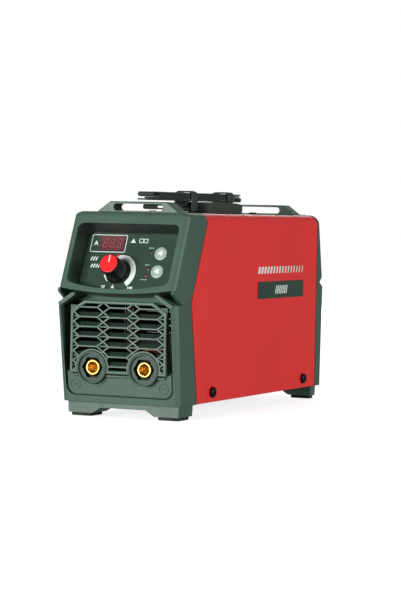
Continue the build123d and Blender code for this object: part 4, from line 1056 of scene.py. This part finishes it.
def tube_ring(name, line, radius, sides=10):
    """Round cord along a closed line."""
    points, faces = [], []
    count = len(line)
    for i, spot in enumerate(line):
        along = (line[(i + 1) % count] - line[i - 1]).normalized()
        out = along.cross(UP).normalized()
        for k in range(sides):
            angle = 2 * math.pi * k / sides
            points.append(spot + (out * math.cos(angle) + UP * math.sin(angle)) * radius)
    for i in range(count):
        faces += between(i * sides, (i + 1) % count * sides, sides)
    mesh = merged(name, [mesh_from("cord", points, faces)])
    mesh.shade_smooth()
    return mesh


def pad_details():
    """Piping round the pad's waist, and the tongue that runs into the front keeper."""
    centre, half = (pad_low + pad_high) / 2, (pad_high - pad_low) / 2
    size = ((half.x / MM) * 2 - 1.9, (half.y / MM) * 2 - 1.9)
    outline = rounded_rectangle((centre.x / MM, centre.y / MM), size, 4.5, 10)
    line = [Vector((x * MM, y * MM, centre.z + 0.4 * MM)) for x, y in outline]
    cord = tube_ring("pad_piping", line, 0.75 * MM)
    shown("pad_piping", cord, finishes["strap_rubber"], "case")
    keeper_low, keeper_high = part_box("strap_keeper_front")
    low = Vector((keeper_low.x + 1.9 * MM, keeper_low.y - 4.0 * MM, keeper_low.z + 1.7 * MM))
    high = Vector((keeper_high.x - 1.9 * MM, pad_low.y + 6.0 * MM, strap_high.z - 8.3 * MM))
    mesh = pad_shape("pad_tongue", low, high, 0.05, 0.12)
    shown("pad_tongue", mesh, finishes["strap_webbing"], "case")


PAD_GAP, PAD_CROWN = 0.15, 1.4  # clear of the cover, and above the CAD pad


def shoulder_pad():
    low, high = pad_low.copy(), pad_high.copy()
    low.z += PAD_GAP * MM
    high.z += PAD_CROWN * MM
    mesh = pad_shape("strap_pad", low, high, 0.08, 0.2)
    pad = shown("strap_pad", mesh, finishes["pad_fabric"], "case")
    smooth = pad.modifiers.new("smooth", "SUBSURF")
    smooth.levels = smooth.render_levels = 1
    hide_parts("shoulder_pad")


strap()
shoulder_pad()
pad_details()
loop_sleeve("strap_keeper_front", 6.0)
loop_sleeve("strap_keeper_rear", 5.0)

# ---------------------------------------------------------------- floor, light and camera
FLOOR_HALF = 6.0
FILL = 0.19  # light from all round, as a share of the white backdrop
GLOW_FROM, GLOW_TO = 0.4, 2.2  # metres from the middle of the machine
FLOOR_GLOW = (0.74, 0.9)  # strength at the nearer distance, and at the farther one


def floor():
    corners = [(-1, -1), (1, -1), (1, 1), (-1, 1)]
    mesh = mesh_from("floor", [(x * FLOOR_HALF, y * FLOOR_HALF, 0) for x, y in corners], [(0, 1, 2, 3)])
    piece = bpy.data.objects.new("floor", mesh)
    collection.objects.link(piece)
    piece.visible_diffuse = piece.visible_glossy = False
    finish = Finish("floor_paper", specular=0.1)
    finish.colour(finish.blend(finish.noise(3), srgb(232, 233, 232), srgb(236, 237, 236)))
    finish.set("Roughness", 0.9)
    finish.set("Emission Color", (1, 1, 1, 1))
    reach = finish.node("ShaderNodeVectorMath", {"Vector": finish.place}, operation="LENGTH")
    glow = finish.ramp(reach.outputs["Value"], GLOW_FROM, GLOW_TO, *FLOOR_GLOW)
    finish.links.new(glow, finish.shader.inputs["Emission Strength"])
    mesh.materials.append(finish.material)


# name: place and size in metres, and watts
LIGHTS = {
    "front": ((-0.5, -2.1, 0.30), (1.1, 0.5), 50),
    "side": ((2.0, -0.2, 0.35), (0.9, 0.6), 25),
    "back": ((-1.0, 2.1, 0.6), (1.2, 0.6), 13),
}


def area_light(name, at, towards, size, watts):
    data = bpy.data.lights.new(name, "AREA")
    data.shape = "RECTANGLE"
    data.size, data.size_y = size
    data.energy = watts
    lamp = bpy.data.objects.new(name, data)
    lamp.location = at
    lamp.rotation_mode = "QUATERNION"
    lamp.rotation_quaternion = (Vector(towards) - Vector(at)).to_track_quat("-Z", "Y")
    collection.objects.link(lamp)


def studio():
    world = bpy.data.worlds.new("studio")
    world.use_nodes = True
    nodes, links = world.node_tree.nodes, world.node_tree.links
    background = nodes["Background"]
    background.inputs["Color"].default_value = (1, 1, 1, 1)
    seen = nodes.new("ShaderNodeLightPath").outputs["Is Camera Ray"]
    strength = nodes.new("ShaderNodeMapRange")
    strength.inputs["To Min"].default_value = FILL
    strength.inputs["To Max"].default_value = 1.0
    links.new(seen, strength.inputs["Value"])
    links.new(strength.outputs["Result"], background.inputs["Strength"])
    bpy.context.scene.world = world
    middle = (cad_low + cad_high) / 2
    for name, (at, size, watts) in LIGHTS.items():
        area_light(name, at, middle, size, watts)
    bpy.context.scene.view_settings.view_transform = "Standard"


# fitted to the straight edges of the machine
CAMERA_AT = Vector((0.91087, -1.94592, 0.18583))
CAMERA_YAW, CAMERA_PITCH, CAMERA_ROLL = (math.radians(angle) for angle in (25.11, 2.26, 1.13))
FOCAL_SHARE = 2246 / 601  # focal length over the long side of the picture
SENSOR = 36.0
CLIP = (0.05, 50)


def camera():
    sight = Vector((-math.sin(CAMERA_YAW), math.cos(CAMERA_YAW), 0)) * math.cos(CAMERA_PITCH)
    sight -= UP * math.sin(CAMERA_PITCH)
    right = Vector((math.cos(CAMERA_YAW), math.sin(CAMERA_YAW), 0))
    above = right.cross(sight)
    cos_r, sin_r = math.cos(CAMERA_ROLL), math.sin(CAMERA_ROLL)
    rolled_right = right * cos_r + above * sin_r
    rolled_above = above * cos_r - right * sin_r
    data = bpy.data.cameras.new("camera")
    data.lens, data.sensor_width = FOCAL_SHARE * SENSOR, SENSOR
    data.clip_start, data.clip_end = CLIP
    eye = bpy.data.objects.new("camera", data)
    turn = Matrix((rolled_right, rolled_above, -sight)).transposed().to_4x4()
    eye.matrix_world = Matrix.Translation(CAMERA_AT) @ turn
    collection.objects.link(eye)
    bpy.context.scene.camera = eye


floor()
studio()
camera()
